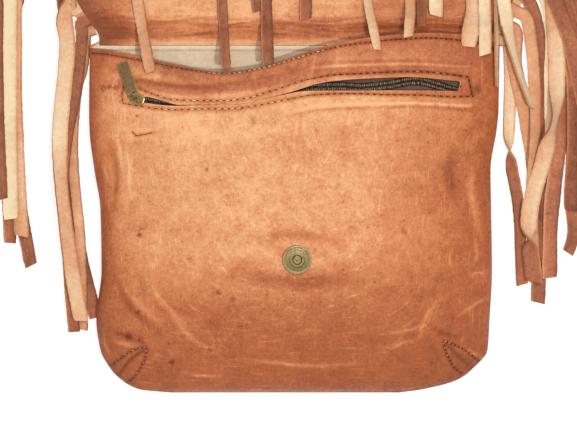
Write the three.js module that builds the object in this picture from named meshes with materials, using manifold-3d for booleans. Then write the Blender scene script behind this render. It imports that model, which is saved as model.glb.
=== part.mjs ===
import * as THREE from 'three';
import { mergeVertices } from 'three/addons/utils/BufferGeometryUtils.js';
import Module from 'manifold-3d';

// A fringed leather bag that lies on its back with its flap thrown open, in millimetres.
// +X runs across the bag, +Y from its bottom towards the flap, and +Z up from the surface.
// The origin is the middle of the back panel's flat face.

// Driving dimensions of the leather bag
const BAG_WIDTH = 260;
const BAG_HEIGHT = 219;
const BAG_DEPTH = 34;
const SEAM_RISE = 5.5;
const SEAM_ROUND = 10;
const BODY_HIDE = 1.4;
const FACING_HIDE = 1.4;
const STRIP_HIDE = 1.3;
const LINING_CLOTH = 1;
const GAP = 0.3;

// Driving dimensions of the flap and its fringe
const FLAP_LENGTH = 176;
const FLAP_WIDTH = 300;
const BAND_TUCK = 4;
const BAND_REACH = 6;
const STRIP_COUNT = 54;
const FAN_LENGTH = 196;
const FAN_WIDTH = 9;
const CREASE_RISE = 1.5;

// Driving dimensions of the zip
const WINDOW_HALF = 4.2;
const COIL_WIDTH = 6;
const COIL_THICK = 1.5;
const TAPE_WIDTH = 24;
const TAPE_THICK = 0.7;
const ZIP_SINK = 0.9;
const SLIDER_LENGTH = 9.5;
const SLIDER_WIDTH = 8;
const SLIDER_THICK = 1.7;
const SLIDER_TURN = 155;
const STEM_LENGTH = 4;
const STEM_WIDTH = 2;
const BAIL_INNER = 1.6;
const BAIL_OUTER = 2.4;
const BAIL_WIDTH = 1;
const BAIL_RISE = 1.1;
const TAB_LENGTH = 24.5;
const TAB_WIDTH = 7.4;
const TAB_THICK = 1;
const TAB_BAR = 0.55;
const TAB_HOLE_END = 3.3;
const TAB_HOLE_HALF = 2.4;
const TAB_TURN = 110;
const TAB_REST = 4;
const TAB_CORNER = 1.8;

// Driving dimensions of the magnetic snap
const SNAP_DIAMETER = 18;
const SNAP_THICK = 2.6;
const SNAP_BORE = 6.3;
const RIVET_DIAMETER = 5.3;
const RIVET_HEIGHT = 2.2;
const STUD_DIAMETER = 5.2;
const STUD_HEIGHT = 2.6;
const SNAP_FROM_FOLD = 135;
const SNAP_ACROSS = 1.3;

// Outline of the bag's body, as shares of its height and of half its width
const OUTLINE = [
  { up: 0, left: -0.6, right: 0.5 },
  { up: 0.008, left: -0.75, right: 0.61 },
  { up: 0.037, left: -0.843, right: 0.79 },
  { up: 0.066, left: -0.892, right: 0.858 },
  { up: 0.123, left: -0.945, right: 0.935 },
  { up: 0.21, left: -0.965, right: 0.945 },
  { up: 0.353, left: -0.94, right: 0.957 },
  { up: 0.526, left: -0.945, right: 0.953 },
  { up: 0.64, left: -0.974, right: 0.95 },
  { up: 0.756, left: -0.998, right: 0.979 },
  { up: 0.81, left: -1, right: 0.988 },
  { up: 1, left: -0.996, right: 0.994 },
];

// How far the front stands out, as shares of the height and of the bulge above the seam
const BULGES = [
  { up: 0, bulge: 0 },
  { up: 0.012, bulge: 0.26 },
  { up: 0.04, bulge: 0.45 },
  { up: 0.08, bulge: 0.61 },
  { up: 0.14, bulge: 0.77 },
  { up: 0.22, bulge: 0.9 },
  { up: 0.36, bulge: 1 },
  { up: 0.46, bulge: 1 },
  { up: 0.6, bulge: 0.92 },
  { up: 0.72, bulge: 0.77 },
  { up: 0.86, bulge: 0.57 },
  { up: 1, bulge: 0.4 },
  { up: 1.08, bulge: 0.32 },
];

// The sagging edge of the front above or below the fold, as shares of half the width and of the height
const RIM = [
  { across: -1, rise: -0.007 },
  { across: -0.84, rise: -0.021 },
  { across: -0.6, rise: -0.055 },
  { across: -0.36, rise: -0.078 },
  { across: -0.2, rise: -0.069 },
  { across: -0.05, rise: -0.043 },
  { across: 0.08, rise: -0.016 },
  { across: 0.2, rise: 0.004 },
  { across: 0.38, rise: 0.023 },
  { across: 0.65, rise: 0.035 },
  { across: 0.88, rise: 0.026 },
  { across: 1, rise: 0 },
];

// Half widths of the open flap, as shares of its length and of half its width
const FLAP = [
  { along: 0, half: 0.823 },
  { along: 0.03, half: 0.825 },
  { along: 0.08, half: 0.857 },
  { along: 0.152, half: 0.913 },
  { along: 0.3, half: 0.975 },
  { along: 0.42, half: 1 },
  { along: 0.55, half: 0.995 },
  { along: 0.7, half: 0.965 },
  { along: 0.8, half: 0.92 },
  { along: 0.88, half: 0.84 },
  { along: 0.94, half: 0.73 },
  { along: 0.98, half: 0.58 },
  { along: 1, half: 0.4 },
];

// Creases of the facing above the fold: place and spread as shares of the flap's length
const CREASES = [
  { along: 0.03, spread: 0.016, rise: 0.8, slant: 0.01 },
  { along: 0.085, spread: 0.018, rise: 1, slant: -0.02 },
  { along: 0.15, spread: 0.02, rise: 0.7, slant: 0.03 },
  { along: 0.23, spread: 0.03, rise: 0.5, slant: -0.02 },
];

// The zip's open window: its middle line and half gap, as shares of half the width,
// of half the height and of the widest half gap
const WINDOW = [
  { across: -0.809, middle: 0.69, half: 0.48 },
  { across: -0.717, middle: 0.683, half: 0.48 },
  { across: -0.645, middle: 0.668, half: 0.36 },
  { across: -0.557, middle: 0.652, half: 0.09 },
  { across: -0.31, middle: 0.666, half: 0.08 },
  { across: -0.058, middle: 0.714, half: 0.08 },
  { across: 0.024, middle: 0.738, half: 0.13 },
  { across: 0.111, middle: 0.757, half: 0.54 },
  { across: 0.194, middle: 0.765, half: 0.74 },
  { across: 0.325, middle: 0.771, half: 0.89 },
  { across: 0.552, middle: 0.777, half: 1 },
  { across: 0.751, middle: 0.767, half: 0.8 },
  { across: 0.809, middle: 0.763, half: 0.73 },
];

// The closed chain wanders inside its window
const CHAIN = [
  { across: -0.785, middle: 0.693 },
  { across: -0.567, middle: 0.656 },
  { across: -0.31, middle: 0.666 },
  { across: -0.058, middle: 0.714 },
  { across: 0.092, middle: 0.757 },
  { across: 0.223, middle: 0.761 },
  { across: 0.305, middle: 0.754 },
  { across: 0.446, middle: 0.769 },
  { across: 0.582, middle: 0.796 },
  { across: 0.692, middle: 0.768 },
  { across: 0.751, middle: 0.745 },
  { across: 0.829, middle: 0.725 },
];

// Strips in the order in which they fell on each other. The slot counts along the flap's edge,
// and by holds the places passed, as shares of half the bag's width and height.
const LEFT_STRIPS = [
  { slot: 4, width: 8.5, by: [
    [-1.129, 1.28], [-1.112, 1.1], [-1.11, 0.51], [-1.06, -0.12], [-0.969, -0.57],
  ] },
  { slot: 1, width: 8, by: [
    [-1.01, 1.03], [-1.028, 0.95], [-1.06, 0.75], [-1.081, 0.4], [-1.045, -0.12], [-1.032, -0.639],
  ] },
  { slot: 2, width: 7.5, by: [
    [-1.035, 1.08], [-1.042, 0.97], [-1.066, 0.74], [-1.124, 0.32], [-1.1, -0.25], [-1.073, -0.65],
  ] },
  { slot: 3, width: 10, by: [
    [-1.108, 1.17], [-1.105, 1], [-1.14, 0.5], [-1.134, 0.2], [-1.071, -0.38], [-1.037, -0.587],
  ] },
  { slot: 5, width: 8.5, by: [
    [-1.245, 1.44], [-1.34, 1.3], [-1.371, 0.63], [-1.357, 0.22], [-1.284, -0.27],
  ] },
  { slot: 6, width: 8.5, by: [[-1.25, 1.56], [-1.345, 1.42], [-1.401, 0.74], [-1.386, -0.138]] },
  { slot: 7, width: 9, by: [
    [-1.245, 1.67], [-1.335, 1.5], [-1.362, 0.91], [-1.357, 0.56], [-1.328, -0.098],
  ] },
  { slot: 8, width: 10, by: [
    [-1.26, 1.8], [-1.355, 1.63], [-1.386, 0.92], [-1.386, 0.49], [-1.379, 0],
  ] },
  { slot: 9, width: 9, by: [[-1.284, 1.93], [-1.41, 1.78], [-1.45, 0.92], [-1.43, 0.11]] },
  { slot: 10, width: 9, by: [[-1.304, 2.065], [-1.47, 1.94], [-1.55, 1.26], [-1.536, 0.4]] },
  { slot: 11, width: 9, by: [[-1.33, 2.18], [-1.56, 2.07], [-1.65, 1.4], [-1.63, 0.56]] },
  { slot: 12, width: 9, by: [[-1.33, 2.3], [-1.6, 2.2], [-1.745, 1.6], [-1.73, 0.75]] },
];
const TOP_STRIPS = [
  { slot: 17, width: 7, by: [[-0.81, 1.89], [-0.763, 1.26], [-0.699, 0.842]] },
  { slot: 22, width: 6, by: [[-0.388, 1.95], [-0.354, 1.26], [-0.332, 0.863]] },
  { slot: 24, width: 9, by: [[-0.222, 2], [-0.174, 1.2]] },
  { slot: 25, width: 7.5, by: [[-0.155, 1.83], [-0.14, 1.26], [-0.131, 0.886]] },
  { slot: 28, width: 7.5, by: [[0.135, 2.2], [0.06, 1.7], [0.051, 1.15]] },
  { slot: 30, width: 5.6, by: [[0.305, 1.89], [0.354, 1.26], [0.4, 0.972]] },
  { slot: 32, width: 6.5, by: [[0.5, 1.89], [0.56, 1.26], [0.55, 1.047]] },
  { slot: 33, width: 5.5, by: [[0.58, 1.89], [0.614, 1.26], [0.614, 1.108]] },
  { slot: 34, width: 9.5, by: [[0.66, 1.89], [0.688, 1.17]] },
  { slot: 35, width: 7.5, by: [[0.79, 1.89], [0.86, 1.26], [0.841, 0.99]] },
  { slot: 36, width: 7.8, by: [[0.87, 1.89], [0.92, 1.26], [0.921, 0.944]] },
];
const RIGHT_STRIPS = [
  { slot: 52, width: 7, by: [
    [1.03, 1.03], [1.04, 0.83], [1.037, 0.39], [1.086, 0.08], [1.105, -0.38],
  ] },
  { slot: 51, width: 9, by: [
    [1.065, 1.09], [1.068, 0.9], [1.124, 0.58], [1.175, 0.11], [1.168, -0.18],
  ] },
  { slot: 49, width: 9, by: [
    [1.158, 1.2], [1.19, 0.97], [1.226, 0.6], [1.197, 0.17], [1.182, -0.483],
  ] },
  { slot: 50, width: 9, by: [
    [1.119, 1.17], [1.149, 1], [1.168, 0.6], [1.149, 0.1], [1.168, -0.357],
  ] },
  { slot: 48, width: 5, by: [[1.207, 1.26], [1.236, 1.08], [1.231, 0.8], [1.245, 0.05]] },
  { slot: 45, width: 8, by: [
    [1.342, 1.55], [1.381, 1.15], [1.342, 0.17], [1.352, -0.1], [1.328, -0.196],
  ] },
  { slot: 46, width: 9, by: [
    [1.265, 1.37], [1.305, 1.03], [1.289, 0.51], [1.245, 0.05], [1.236, -0.339],
  ] },
  { slot: 47, width: 9, by: [
    [1.236, 1.37], [1.265, 1.1], [1.27, 0.63], [1.212, 0.37], [1.144, -0.06], [1.124, -0.253],
  ] },
  { slot: 44, width: 8.5, by: [[1.304, 1.49], [1.34, 1.2], [1.352, 0.68], [1.342, 0.05]] },
  { slot: 42, width: 9, by: [[1.3, 1.57], [1.44, 0.94], [1.53, 0.11]] },
  { slot: 43, width: 10, by: [[1.231, 1.4], [1.342, 1], [1.44, 0.4], [1.459, -0.03]] },
  { slot: 37, width: 4, over: true, by: [
    [0.938, 1.89], [0.975, 1.26], [0.977, 0.97], [0.979, 0.76],
  ] },
  { slot: 38, width: 6, over: true, by: [
    [0.993, 1.83], [1.013, 1.26], [1.061, 0.95], [1.149, 0.64],
  ] },
];

const FOLD_Y = BAG_HEIGHT / 2;
const BASE_Y = -BAG_HEIGHT / 2;
const HALF_WIDTH = BAG_WIDTH / 2;
const FRONT_SEAM = SEAM_RISE + GAP / 2;
const BACK_SEAM = SEAM_RISE - GAP / 2;
const BULGE = BAG_DEPTH - FRONT_SEAM;
const PITCH = STRIP_HIDE + GAP;
const SURFACE_CLEARANCE = 0.1;

const wasm = await Module();
wasm.setup();

// Reads a column of a table smoothly, without swinging past its rows
function read(table, along, column, at) {
  const last = table.length - 1;
  if (at <= table[0][along]) return table[0][column];
  if (at >= table[last][along]) return table[last][column];
  const k = table.findIndex((row) => row[along] > at);
  const step = (i, name) => table[i][name] - table[i - 1][name];
  const slope = (i) => step(i, column) / step(i, along);
  const tangent = (i) => {
    if (i === 0) return slope(1);
    if (i === last) return slope(last);
    const product = slope(i) * slope(i + 1);
    return product > 0 ? (2 * product) / (slope(i) + slope(i + 1)) : 0;
  };
  const span = step(k, along);
  const t = (at - table[k - 1][along]) / span;
  const rise = t * t * (3 - 2 * t);
  const ease = span * t * (1 - t) * ((1 - t) * tangent(k - 1) - t * tangent(k));
  return table[k - 1][column] * (1 - rise) + table[k][column] * rise + ease;
}

// The solid between two grids of points, rows towards +Y and columns towards +X
function slab(upper, lower) {
  const rows = upper.length;
  const columns = upper[0].length;
  const index = [];
  const top = (r, c) => r * columns + c;
  const under = (r, c) => rows * columns + r * columns + c;
  const quad = (a, b, c, d) => index.push(a, b, c, a, c, d);
  for (let r = 0; r + 1 < rows; r += 1) {
    for (let c = 0; c + 1 < columns; c += 1) {
      quad(top(r, c), top(r, c + 1), top(r + 1, c + 1), top(r + 1, c));
      quad(under(r + 1, c), under(r + 1, c + 1), under(r, c + 1), under(r, c));
    }
    const end = columns - 1;
    quad(under(r, end), under(r + 1, end), top(r + 1, end), top(r, end));
    quad(under(r + 1, 0), under(r, 0), top(r, 0), top(r + 1, 0));
  }
  for (let c = 0; c + 1 < columns; c += 1) {
    const end = rows - 1;
    quad(under(0, c), under(0, c + 1), top(0, c + 1), top(0, c));
    quad(under(end, c + 1), under(end, c), top(end, c), top(end, c + 1));
  }
  return meshOf([...upper.flat(), ...lower.flat()], index);
}

function meshOf(points, index) {
  return geometryFrom(points.flatMap((point) => point.toArray()), index);
}

function geometryFrom(positions, index) {
  const geometry = new THREE.BufferGeometry();
  geometry.setAttribute('position', new THREE.Float32BufferAttribute(positions, 3));
  geometry.setIndex(index);
  return geometry;
}

function solidOf(geometry) {
  const bare = geometry.clone();
  bare.deleteAttribute('normal');
  bare.deleteAttribute('uv');
  const merged = mergeVertices(bare, 1e-4);
  const vertProperties = Float32Array.from(merged.attributes.position.array);
  const triVerts = Uint32Array.from(merged.index.array);
  return new wasm.Manifold(new wasm.Mesh({ numProp: 3, vertProperties, triVerts }));
}

function geometryOf(solid) {
  const { vertProperties, triVerts, numProp } = solid.getMesh();
  const positions = [];
  for (let i = 0; i < vertProperties.length; i += numProp) {
    positions.push(vertProperties[i], vertProperties[i + 1], vertProperties[i + 2]);
  }
  return geometryFrom(positions, Array.from(triVerts));
}

const joined = (solids) => geometryOf(solids.reduce((whole, piece) => whole.add(piece)));

// Shares across a panel from -1 to 1, close together near its edges
const spread = (count) => Array.from({ length: count + 1 }, (_, i) => (
  -Math.cos((Math.PI * i) / count)));

const upOf = (y) => (y - BASE_Y) / BAG_HEIGHT;
const rimY = (x) => FOLD_Y + BAG_HEIGHT * read(RIM, 'across', 'rise', x / HALF_WIDTH);
const leftEdge = (up) => HALF_WIDTH * read(OUTLINE, 'up', 'left', up);
const rightEdge = (up) => HALF_WIDTH * read(OUTLINE, 'up', 'right', up);
const crown = (u) => (1 - Math.min(1, Math.abs(u)) ** 2.6) ** 0.55;
const ramp = (from, to, at) => THREE.MathUtils.smoothstep(at, from, to);

// Height of the front's outer face at a place
function frontHeight(x, y) {
  const up = upOf(y);
  const left = leftEdge(up);
  const right = rightEdge(up);
  const u = (2 * x - left - right) / (right - left);
  return FRONT_SEAM + BULGE * read(BULGES, 'up', 'bulge', up) * crown(u);
}

// One face of the front, moved in from the outline by inset and down by drop
const MOUTH_START = 0.72;
const FULL_DROP = 0.04;
function frontFace(shares, columns, inset, drop, rimSet) {
  return shares.map((share) => columns.map((u) => {
    const left = leftEdge(share) + inset;
    const right = rightEdge(share) - inset;
    const x = (left + right) / 2 + (u * (right - left)) / 2;
    const level = BASE_Y + inset + share * (BAG_HEIGHT - inset);
    const y = level + ramp(MOUTH_START, 1, share) * (rimY(x) - rimSet - FOLD_Y);
    const bulge = BULGE * read(BULGES, 'up', 'bulge', share < MOUTH_START ? share : upOf(y));
    const z = FRONT_SEAM + Math.max(0, bulge - drop * Math.min(1, share / FULL_DROP)) * crown(u);
    return new THREE.Vector3(x, y, z);
  }));
}

// One face of the back, at a height above the surface and turned up to the seam round its edge
const turnedUp = (distance) => Math.sqrt(1 - (1 - Math.min(distance / SEAM_ROUND, 1)) ** 2);
function backFace(shares, columns, inset, height) {
  return shares.map((share) => columns.map((u) => {
    const left = leftEdge(share) + inset;
    const right = rightEdge(share) - inset;
    const x = (left + right) / 2 + (u * (right - left)) / 2;
    const y = BASE_Y + inset + share * (BAG_HEIGHT - inset);
    const flat = turnedUp(((1 - Math.abs(u)) * (right - left)) / 2) * turnedUp(share * BAG_HEIGHT);
    return new THREE.Vector3(x, y, BACK_SEAM - (BACK_SEAM - height) * flat);
  }));
}

const BODY_COLUMNS = spread(14);
const FRONT_ROWS = [
  0, 0.006, 0.02, 0.045, 0.08, 0.13, 0.2, 0.28, 0.37, 0.46, 0.55, 0.64, 0.72, 0.8, 0.87, 0.935, 1,
];
const BACK_ROWS = [0, 0.01, 0.035, 0.07, 0.12, 0.2, 0.36, 0.52, 0.68, 0.82, 0.91, 1];

// The flap's outline, from the left end of the fold round to the right end
const flapHalf = (along) => (FLAP_WIDTH / 2) * read(FLAP, 'along', 'half', along);
const FLAP_ROWS = [0.008, 0.04, 0.08, 0.14, 0.25, 0.42, 0.6, 0.75, 0.86, 0.94, 0.98, 1];
const FLAP_SIDE = [0, ...FLAP_ROWS].map((along) => (
  new THREE.Vector3(flapHalf(along), FOLD_Y + along * FLAP_LENGTH, 0)));
const FLAP_EDGE = new THREE.CurvePath();
const EDGE_POINTS = [
  ...FLAP_SIDE.map((p) => new THREE.Vector3(-p.x, p.y, 0)),
  ...FLAP_SIDE.slice().reverse(),
];
EDGE_POINTS.slice(1).forEach((point, i) => FLAP_EDGE.add(new THREE.LineCurve3(EDGE_POINTS[i], point)));

// A place at a distance outside the flap's edge, and the smoothed direction out of it there
const EDGE_SMOOTH = 0.016;
function edgeAt(share, outwards) {
  const ahead = FLAP_EDGE.getPointAt(Math.min(1, share + EDGE_SMOOTH));
  const behind = FLAP_EDGE.getPointAt(Math.max(0, share - EDGE_SMOOTH));
  const travel = ahead.sub(behind).normalize();
  const outward = new THREE.Vector3(-travel.y, travel.x, 0);
  return { point: FLAP_EDGE.getPointAt(share).addScaledVector(outward, outwards), outward };
}

function edgeDistance(x, y) {
  const place = new THREE.Vector3(x, y, 0);
  const near = new THREE.Vector3();
  const line = new THREE.Line3();
  return Math.min(...EDGE_POINTS.slice(1).map((point, i) => {
    line.set(EDGE_POINTS[i], point).closestPointToPoint(place, true, near);
    return near.distanceTo(place);
  }));
}

// How far the leather near the flap's edge has climbed onto the fringe's band, within a width
const BAND_CLEAR = BAND_TUCK + 3;
const FACING_CLIMB = 9;
function climbAt(x, y, width) {
  return 1 - THREE.MathUtils.clamp((edgeDistance(x, y) - BAND_CLEAR) / width, 0, 1);
}

// Height of the facing's underside, which climbs over the fringe's band and lifts in creases
function facingUnder(x, y) {
  const along = (y - FOLD_Y) / FLAP_LENGTH;
  const fade = 1 - ramp(0.75, 0.95, Math.abs(x) / flapHalf(along));
  const lift = CREASES.reduce((sum, crease) => {
    const off = (along - crease.along - (crease.slant * x) / FLAP_WIDTH) / crease.spread;
    return sum + crease.rise * CREASE_RISE * Math.exp(-off * off);
  }, 0);
  return BODY_HIDE + GAP + Math.max(PITCH * climbAt(x, y, FACING_CLIMB), lift * fade);
}

// What a strip lies on when it has fallen inwards over the flap and the front
function groundAt(x, y) {
  const up = upOf(y);
  const along = (y - FOLD_Y) / FLAP_LENGTH;
  const inFlap = along > 0 && (Math.abs(x) < flapHalf(along) || edgeDistance(x, y) < 2 * BAND_REACH);
  const inBody = x > leftEdge(up) && x < rightEdge(up);
  if (inBody && y < rimY(x) + STRIP_STEP + GAP) return frontHeight(x, Math.min(y, rimY(x))) + GAP;
  if (inFlap) {
    const climb = PITCH * climbAt(x, y, 2 * FACING_CLIMB);
    const creased = CREASE_RISE * (1 - ramp(0.26, 0.36, along));
    return BODY_HIDE + FACING_HIDE + 2 * GAP + Math.max(climb, creased);
  }
  if (inBody && y <= FOLD_Y) return BODY_HIDE + LINING_CLOTH + 2 * GAP;
  return SURFACE_CLEARANCE;
}

// A flat ribbon along points with the direction of its width at each
function ribbon(points, sides, width) {
  const normals = points.map((point, i) => {
    const before = point.clone().sub(points[Math.max(0, i - 1)]).normalize();
    const after = points[Math.min(points.length - 1, i + 1)].clone().sub(point).normalize();
    if (i === 0) before.copy(after);
    if (i === points.length - 1) after.copy(before);
    const first = sides[i].clone().cross(before);
    const second = sides[i].clone().cross(after);
    return first.clone().add(second).divideScalar(1 + first.dot(second));
  });
  const face = (lift) => points.map((point, i) => [-1, 1].map((hand) => point.clone()
    .addScaledVector(sides[i], (hand * width) / 2)
    .addScaledVector(normals[i], lift)));
  return slab(face(STRIP_HIDE / 2), face(-STRIP_HIDE / 2));
}

// Drops the points of a path that lie within slack of the line between those kept; a height counts for more
function thin(points, slack) {
  if (points.length < 3) return points;
  const line = new THREE.Line3(points[0].place, points.at(-1).place);
  const off = points.map(({ place }) => {
    const gap = line.closestPointToPoint(place, true, new THREE.Vector3()).sub(place);
    return Math.hypot(gap.x, gap.y, HEIGHT_WEIGHT * gap.z);
  });
  const worst = off.indexOf(Math.max(...off));
  if (off[worst] < slack) return [points[0], points.at(-1)];
  return [...thin(points.slice(0, worst + 1), slack).slice(0, -1), ...thin(points.slice(worst), slack)];
}

const STRIP_STEP = 5;
const STRIP_SLACK = 1.1;
const HEIGHT_WEIGHT = 2.5;
const STEEPEST_OVER_BAG = 0.6;
const STEEPEST_BESIDE = 0.14;
const BAND_MIDDLE = BODY_HIDE + GAP + STRIP_HIDE / 2;
const rootShare = (slot) => (slot + 0.5) / STRIP_COUNT;
const inHalves = ([x, y]) => new THREE.Vector3(x * HALF_WIDTH, y * FOLD_Y, 0);

// A strip's places and heights: it lies on the ground and on the strips placed before it
function layStrip(strip, placed) {
  const { point, outward } = edgeAt(rootShare(strip.slot), BAND_REACH);
  const inwards = strip.inwards || strip.over;
  const start = inwards ? point.clone() : edgeAt(rootShare(strip.slot), 0).point;
  const middle = inwards ? edgeAt(rootShare(strip.slot), -2 * BAND_REACH).point : point;
  const curve = new THREE.CatmullRomCurve3([start, middle, ...strip.by], false, 'centripetal');
  const count = Math.ceil(curve.getLength() / STRIP_STEP);
  const samples = curve.getSpacedPoints(count).map((place, i) => {
    const travel = curve.getTangentAt(i / count);
    return { place, side: new THREE.Vector3(travel.y, -travel.x, 0).normalize(), width: strip.width };
  });
  samples.forEach(({ place, side }) => {
    const rests = [-1, 0, 1].map((hand) => {
      const x = place.x + (hand * side.x * strip.width) / 2;
      const y = place.y + (hand * side.y * strip.width) / 2;
      return inwards ? groundAt(x, y) : SURFACE_CLEARANCE;
    });
    const under = placed.filter((other) => {
      const reach = (other.width + strip.width) / 2;
      return Math.hypot(other.place.x - place.x, other.place.y - place.y) < reach;
    });
    const stacked = under.map((other) => other.place.z + STRIP_HIDE / 2 + GAP);
    place.z = Math.max(...rests, ...stacked) + STRIP_HIDE / 2;
  });
  const steepest = inwards ? STEEPEST_OVER_BAG : STEEPEST_BESIDE;
  const slopeLimit = (from, to) => {
    const run = Math.hypot(from.place.x - to.place.x, from.place.y - to.place.y);
    to.place.z = Math.max(to.place.z, from.place.z - steepest * run);
  };
  for (let i = 1; i <= count; i += 1) slopeLimit(samples[i - 1], samples[i]);
  for (let i = count; i > 0; i -= 1) slopeLimit(samples[i], samples[i - 1]);
  if (!inwards) {
    samples[0].place.z = BAND_MIDDLE;
    samples[1].place.z = BAND_MIDDLE;
  }
  placed.push(...samples.slice(2));
  return { samples, outward };
}

// A strip that has fallen inwards turns over its root in a half circle
function turnOver(first, side, outward) {
  const radius = (first.z - BAND_MIDDLE) / 2;
  const root = first.clone().addScaledVector(outward, -3);
  root.z = BAND_MIDDLE;
  const bend = [-90, -45, 0, 45].map((degrees) => {
    const turn = THREE.MathUtils.degToRad(degrees);
    const place = first.clone().addScaledVector(outward, radius * Math.cos(turn));
    place.z = BAND_MIDDLE + radius * (1 + Math.sin(turn));
    return { place, side };
  });
  return [{ place: root, side }, ...bend];
}

function stripSolid(strip, placed) {
  const { samples, outward } = layStrip(strip, placed);
  const kept = thin(samples, STRIP_SLACK);
  const turned = strip.inwards || strip.over ? turnOver(samples[0].place, samples[0].side, outward) : [];
  const path = [...turned, ...kept];
  return solidOf(ribbon(path.map(({ place }) => place), path.map(({ side }) => side), strip.width));
}

// Strips that no row names lie straight out from the flap, each with a slight bend of its own
function fanStrip(slot) {
  const { point, outward } = edgeAt(rootShare(slot), BAND_REACH);
  const out = Math.atan2(outward.y, outward.x);
  const lie = Math.PI / 2 + (out - Math.PI / 2) * 0.45 + 0.1 * Math.sin(slot * 2.3);
  const by = [0.12, 0.4, 0.7, 1].map((share) => {
    const angle = out + (lie - out) * Math.min(1, share * 2.2);
    const sway = 5 * Math.sin(slot * 1.7 + share * 4) * share;
    const place = point.clone();
    place.x += FAN_LENGTH * share * Math.cos(angle) - sway * Math.sin(angle);
    place.y += FAN_LENGTH * share * Math.sin(angle) + sway * Math.cos(angle);
    return place;
  });
  return { slot, width: FAN_WIDTH, by };
}

// The header band under the facing's edge between two slots, with its strips
function fringe(from, to, rows, inwards) {
  const steps = Math.round(to - from);
  const shares = Array.from({ length: steps + 1 }, (_, i) => (
    (from + ((to - from) * i) / steps) / STRIP_COUNT));
  const line = (outwards, z) => shares.map((share) => edgeAt(share, outwards).point.setZ(z));
  const face = (z) => [line(-BAND_TUCK, z), line(BAND_REACH, z)];
  const band = slab(face(BODY_HIDE + GAP + STRIP_HIDE), face(BODY_HIDE + GAP));
  const placed = [];
  const solids = [solidOf(band)];
  rows.forEach((row) => solids.push(stripSolid({ ...row, inwards, by: row.by.map(inHalves) }, placed)));
  const named = rows.map((row) => row.slot);
  for (let slot = Math.ceil(from); slot < Math.floor(to); slot += 1) {
    if (!named.includes(slot)) solids.push(stripSolid(fanStrip(slot), placed));
  }
  return joined(solids);
}

// The leather front, with the zip's window cut through it
function frontPanel() {
  const outer = frontFace(FRONT_ROWS, BODY_COLUMNS, 0, 0, 0);
  const inner = frontFace(FRONT_ROWS, BODY_COLUMNS, BODY_HIDE, BODY_HIDE, 0);
  const edge = (hand) => WINDOW.map(({ across, middle, half }) => (
    new THREE.Vector2(across * HALF_WIDTH, middle * FOLD_Y + hand * half * WINDOW_HALF)));
  const window = new THREE.Shape([...edge(-1), ...edge(1).reverse()]);
  const cutter = new THREE.ExtrudeGeometry(window, { depth: 2 * BAG_DEPTH, bevelEnabled: false });
  return geometryOf(solidOf(slab(outer, inner)).subtract(solidOf(cutter)));
}

// The back panel runs on over the fold as the flap's outer leather
function backAndFlap() {
  const flap = (height) => FLAP_ROWS.map((along) => BODY_COLUMNS.map((u) => (
    new THREE.Vector3(u * flapHalf(along), FOLD_Y + along * FLAP_LENGTH, height))));
  const upper = [...backFace(BACK_ROWS, BODY_COLUMNS, BODY_HIDE, BODY_HIDE), ...flap(BODY_HIDE)];
  const lower = [...backFace(BACK_ROWS, BODY_COLUMNS, 0, 0), ...flap(0)];
  return slab(upper, lower);
}

const FACING_COLUMNS = [-1, -0.96, -0.9, -0.8, -0.6, -0.3, -0.1, 0.1, 0.3, 0.6, 0.8, 0.9, 0.96, 1];
const FACING_ROWS = [
  0, 0.03, 0.058, 0.085, 0.118, 0.15, 0.19, 0.23, 0.3, 0.42, 0.6, 0.75, 0.86, 0.94, 0.98, 1,
];
function flapFacing() {
  const face = (thick) => FACING_ROWS.map((share) => FACING_COLUMNS.map((u) => {
    const y = FOLD_Y + GAP + share * (FLAP_LENGTH - GAP);
    const x = u * flapHalf((y - FOLD_Y) / FLAP_LENGTH);
    return new THREE.Vector3(x, y, facingUnder(x, y) + thick);
  }));
  return slab(face(FACING_HIDE), face(0));
}

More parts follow.
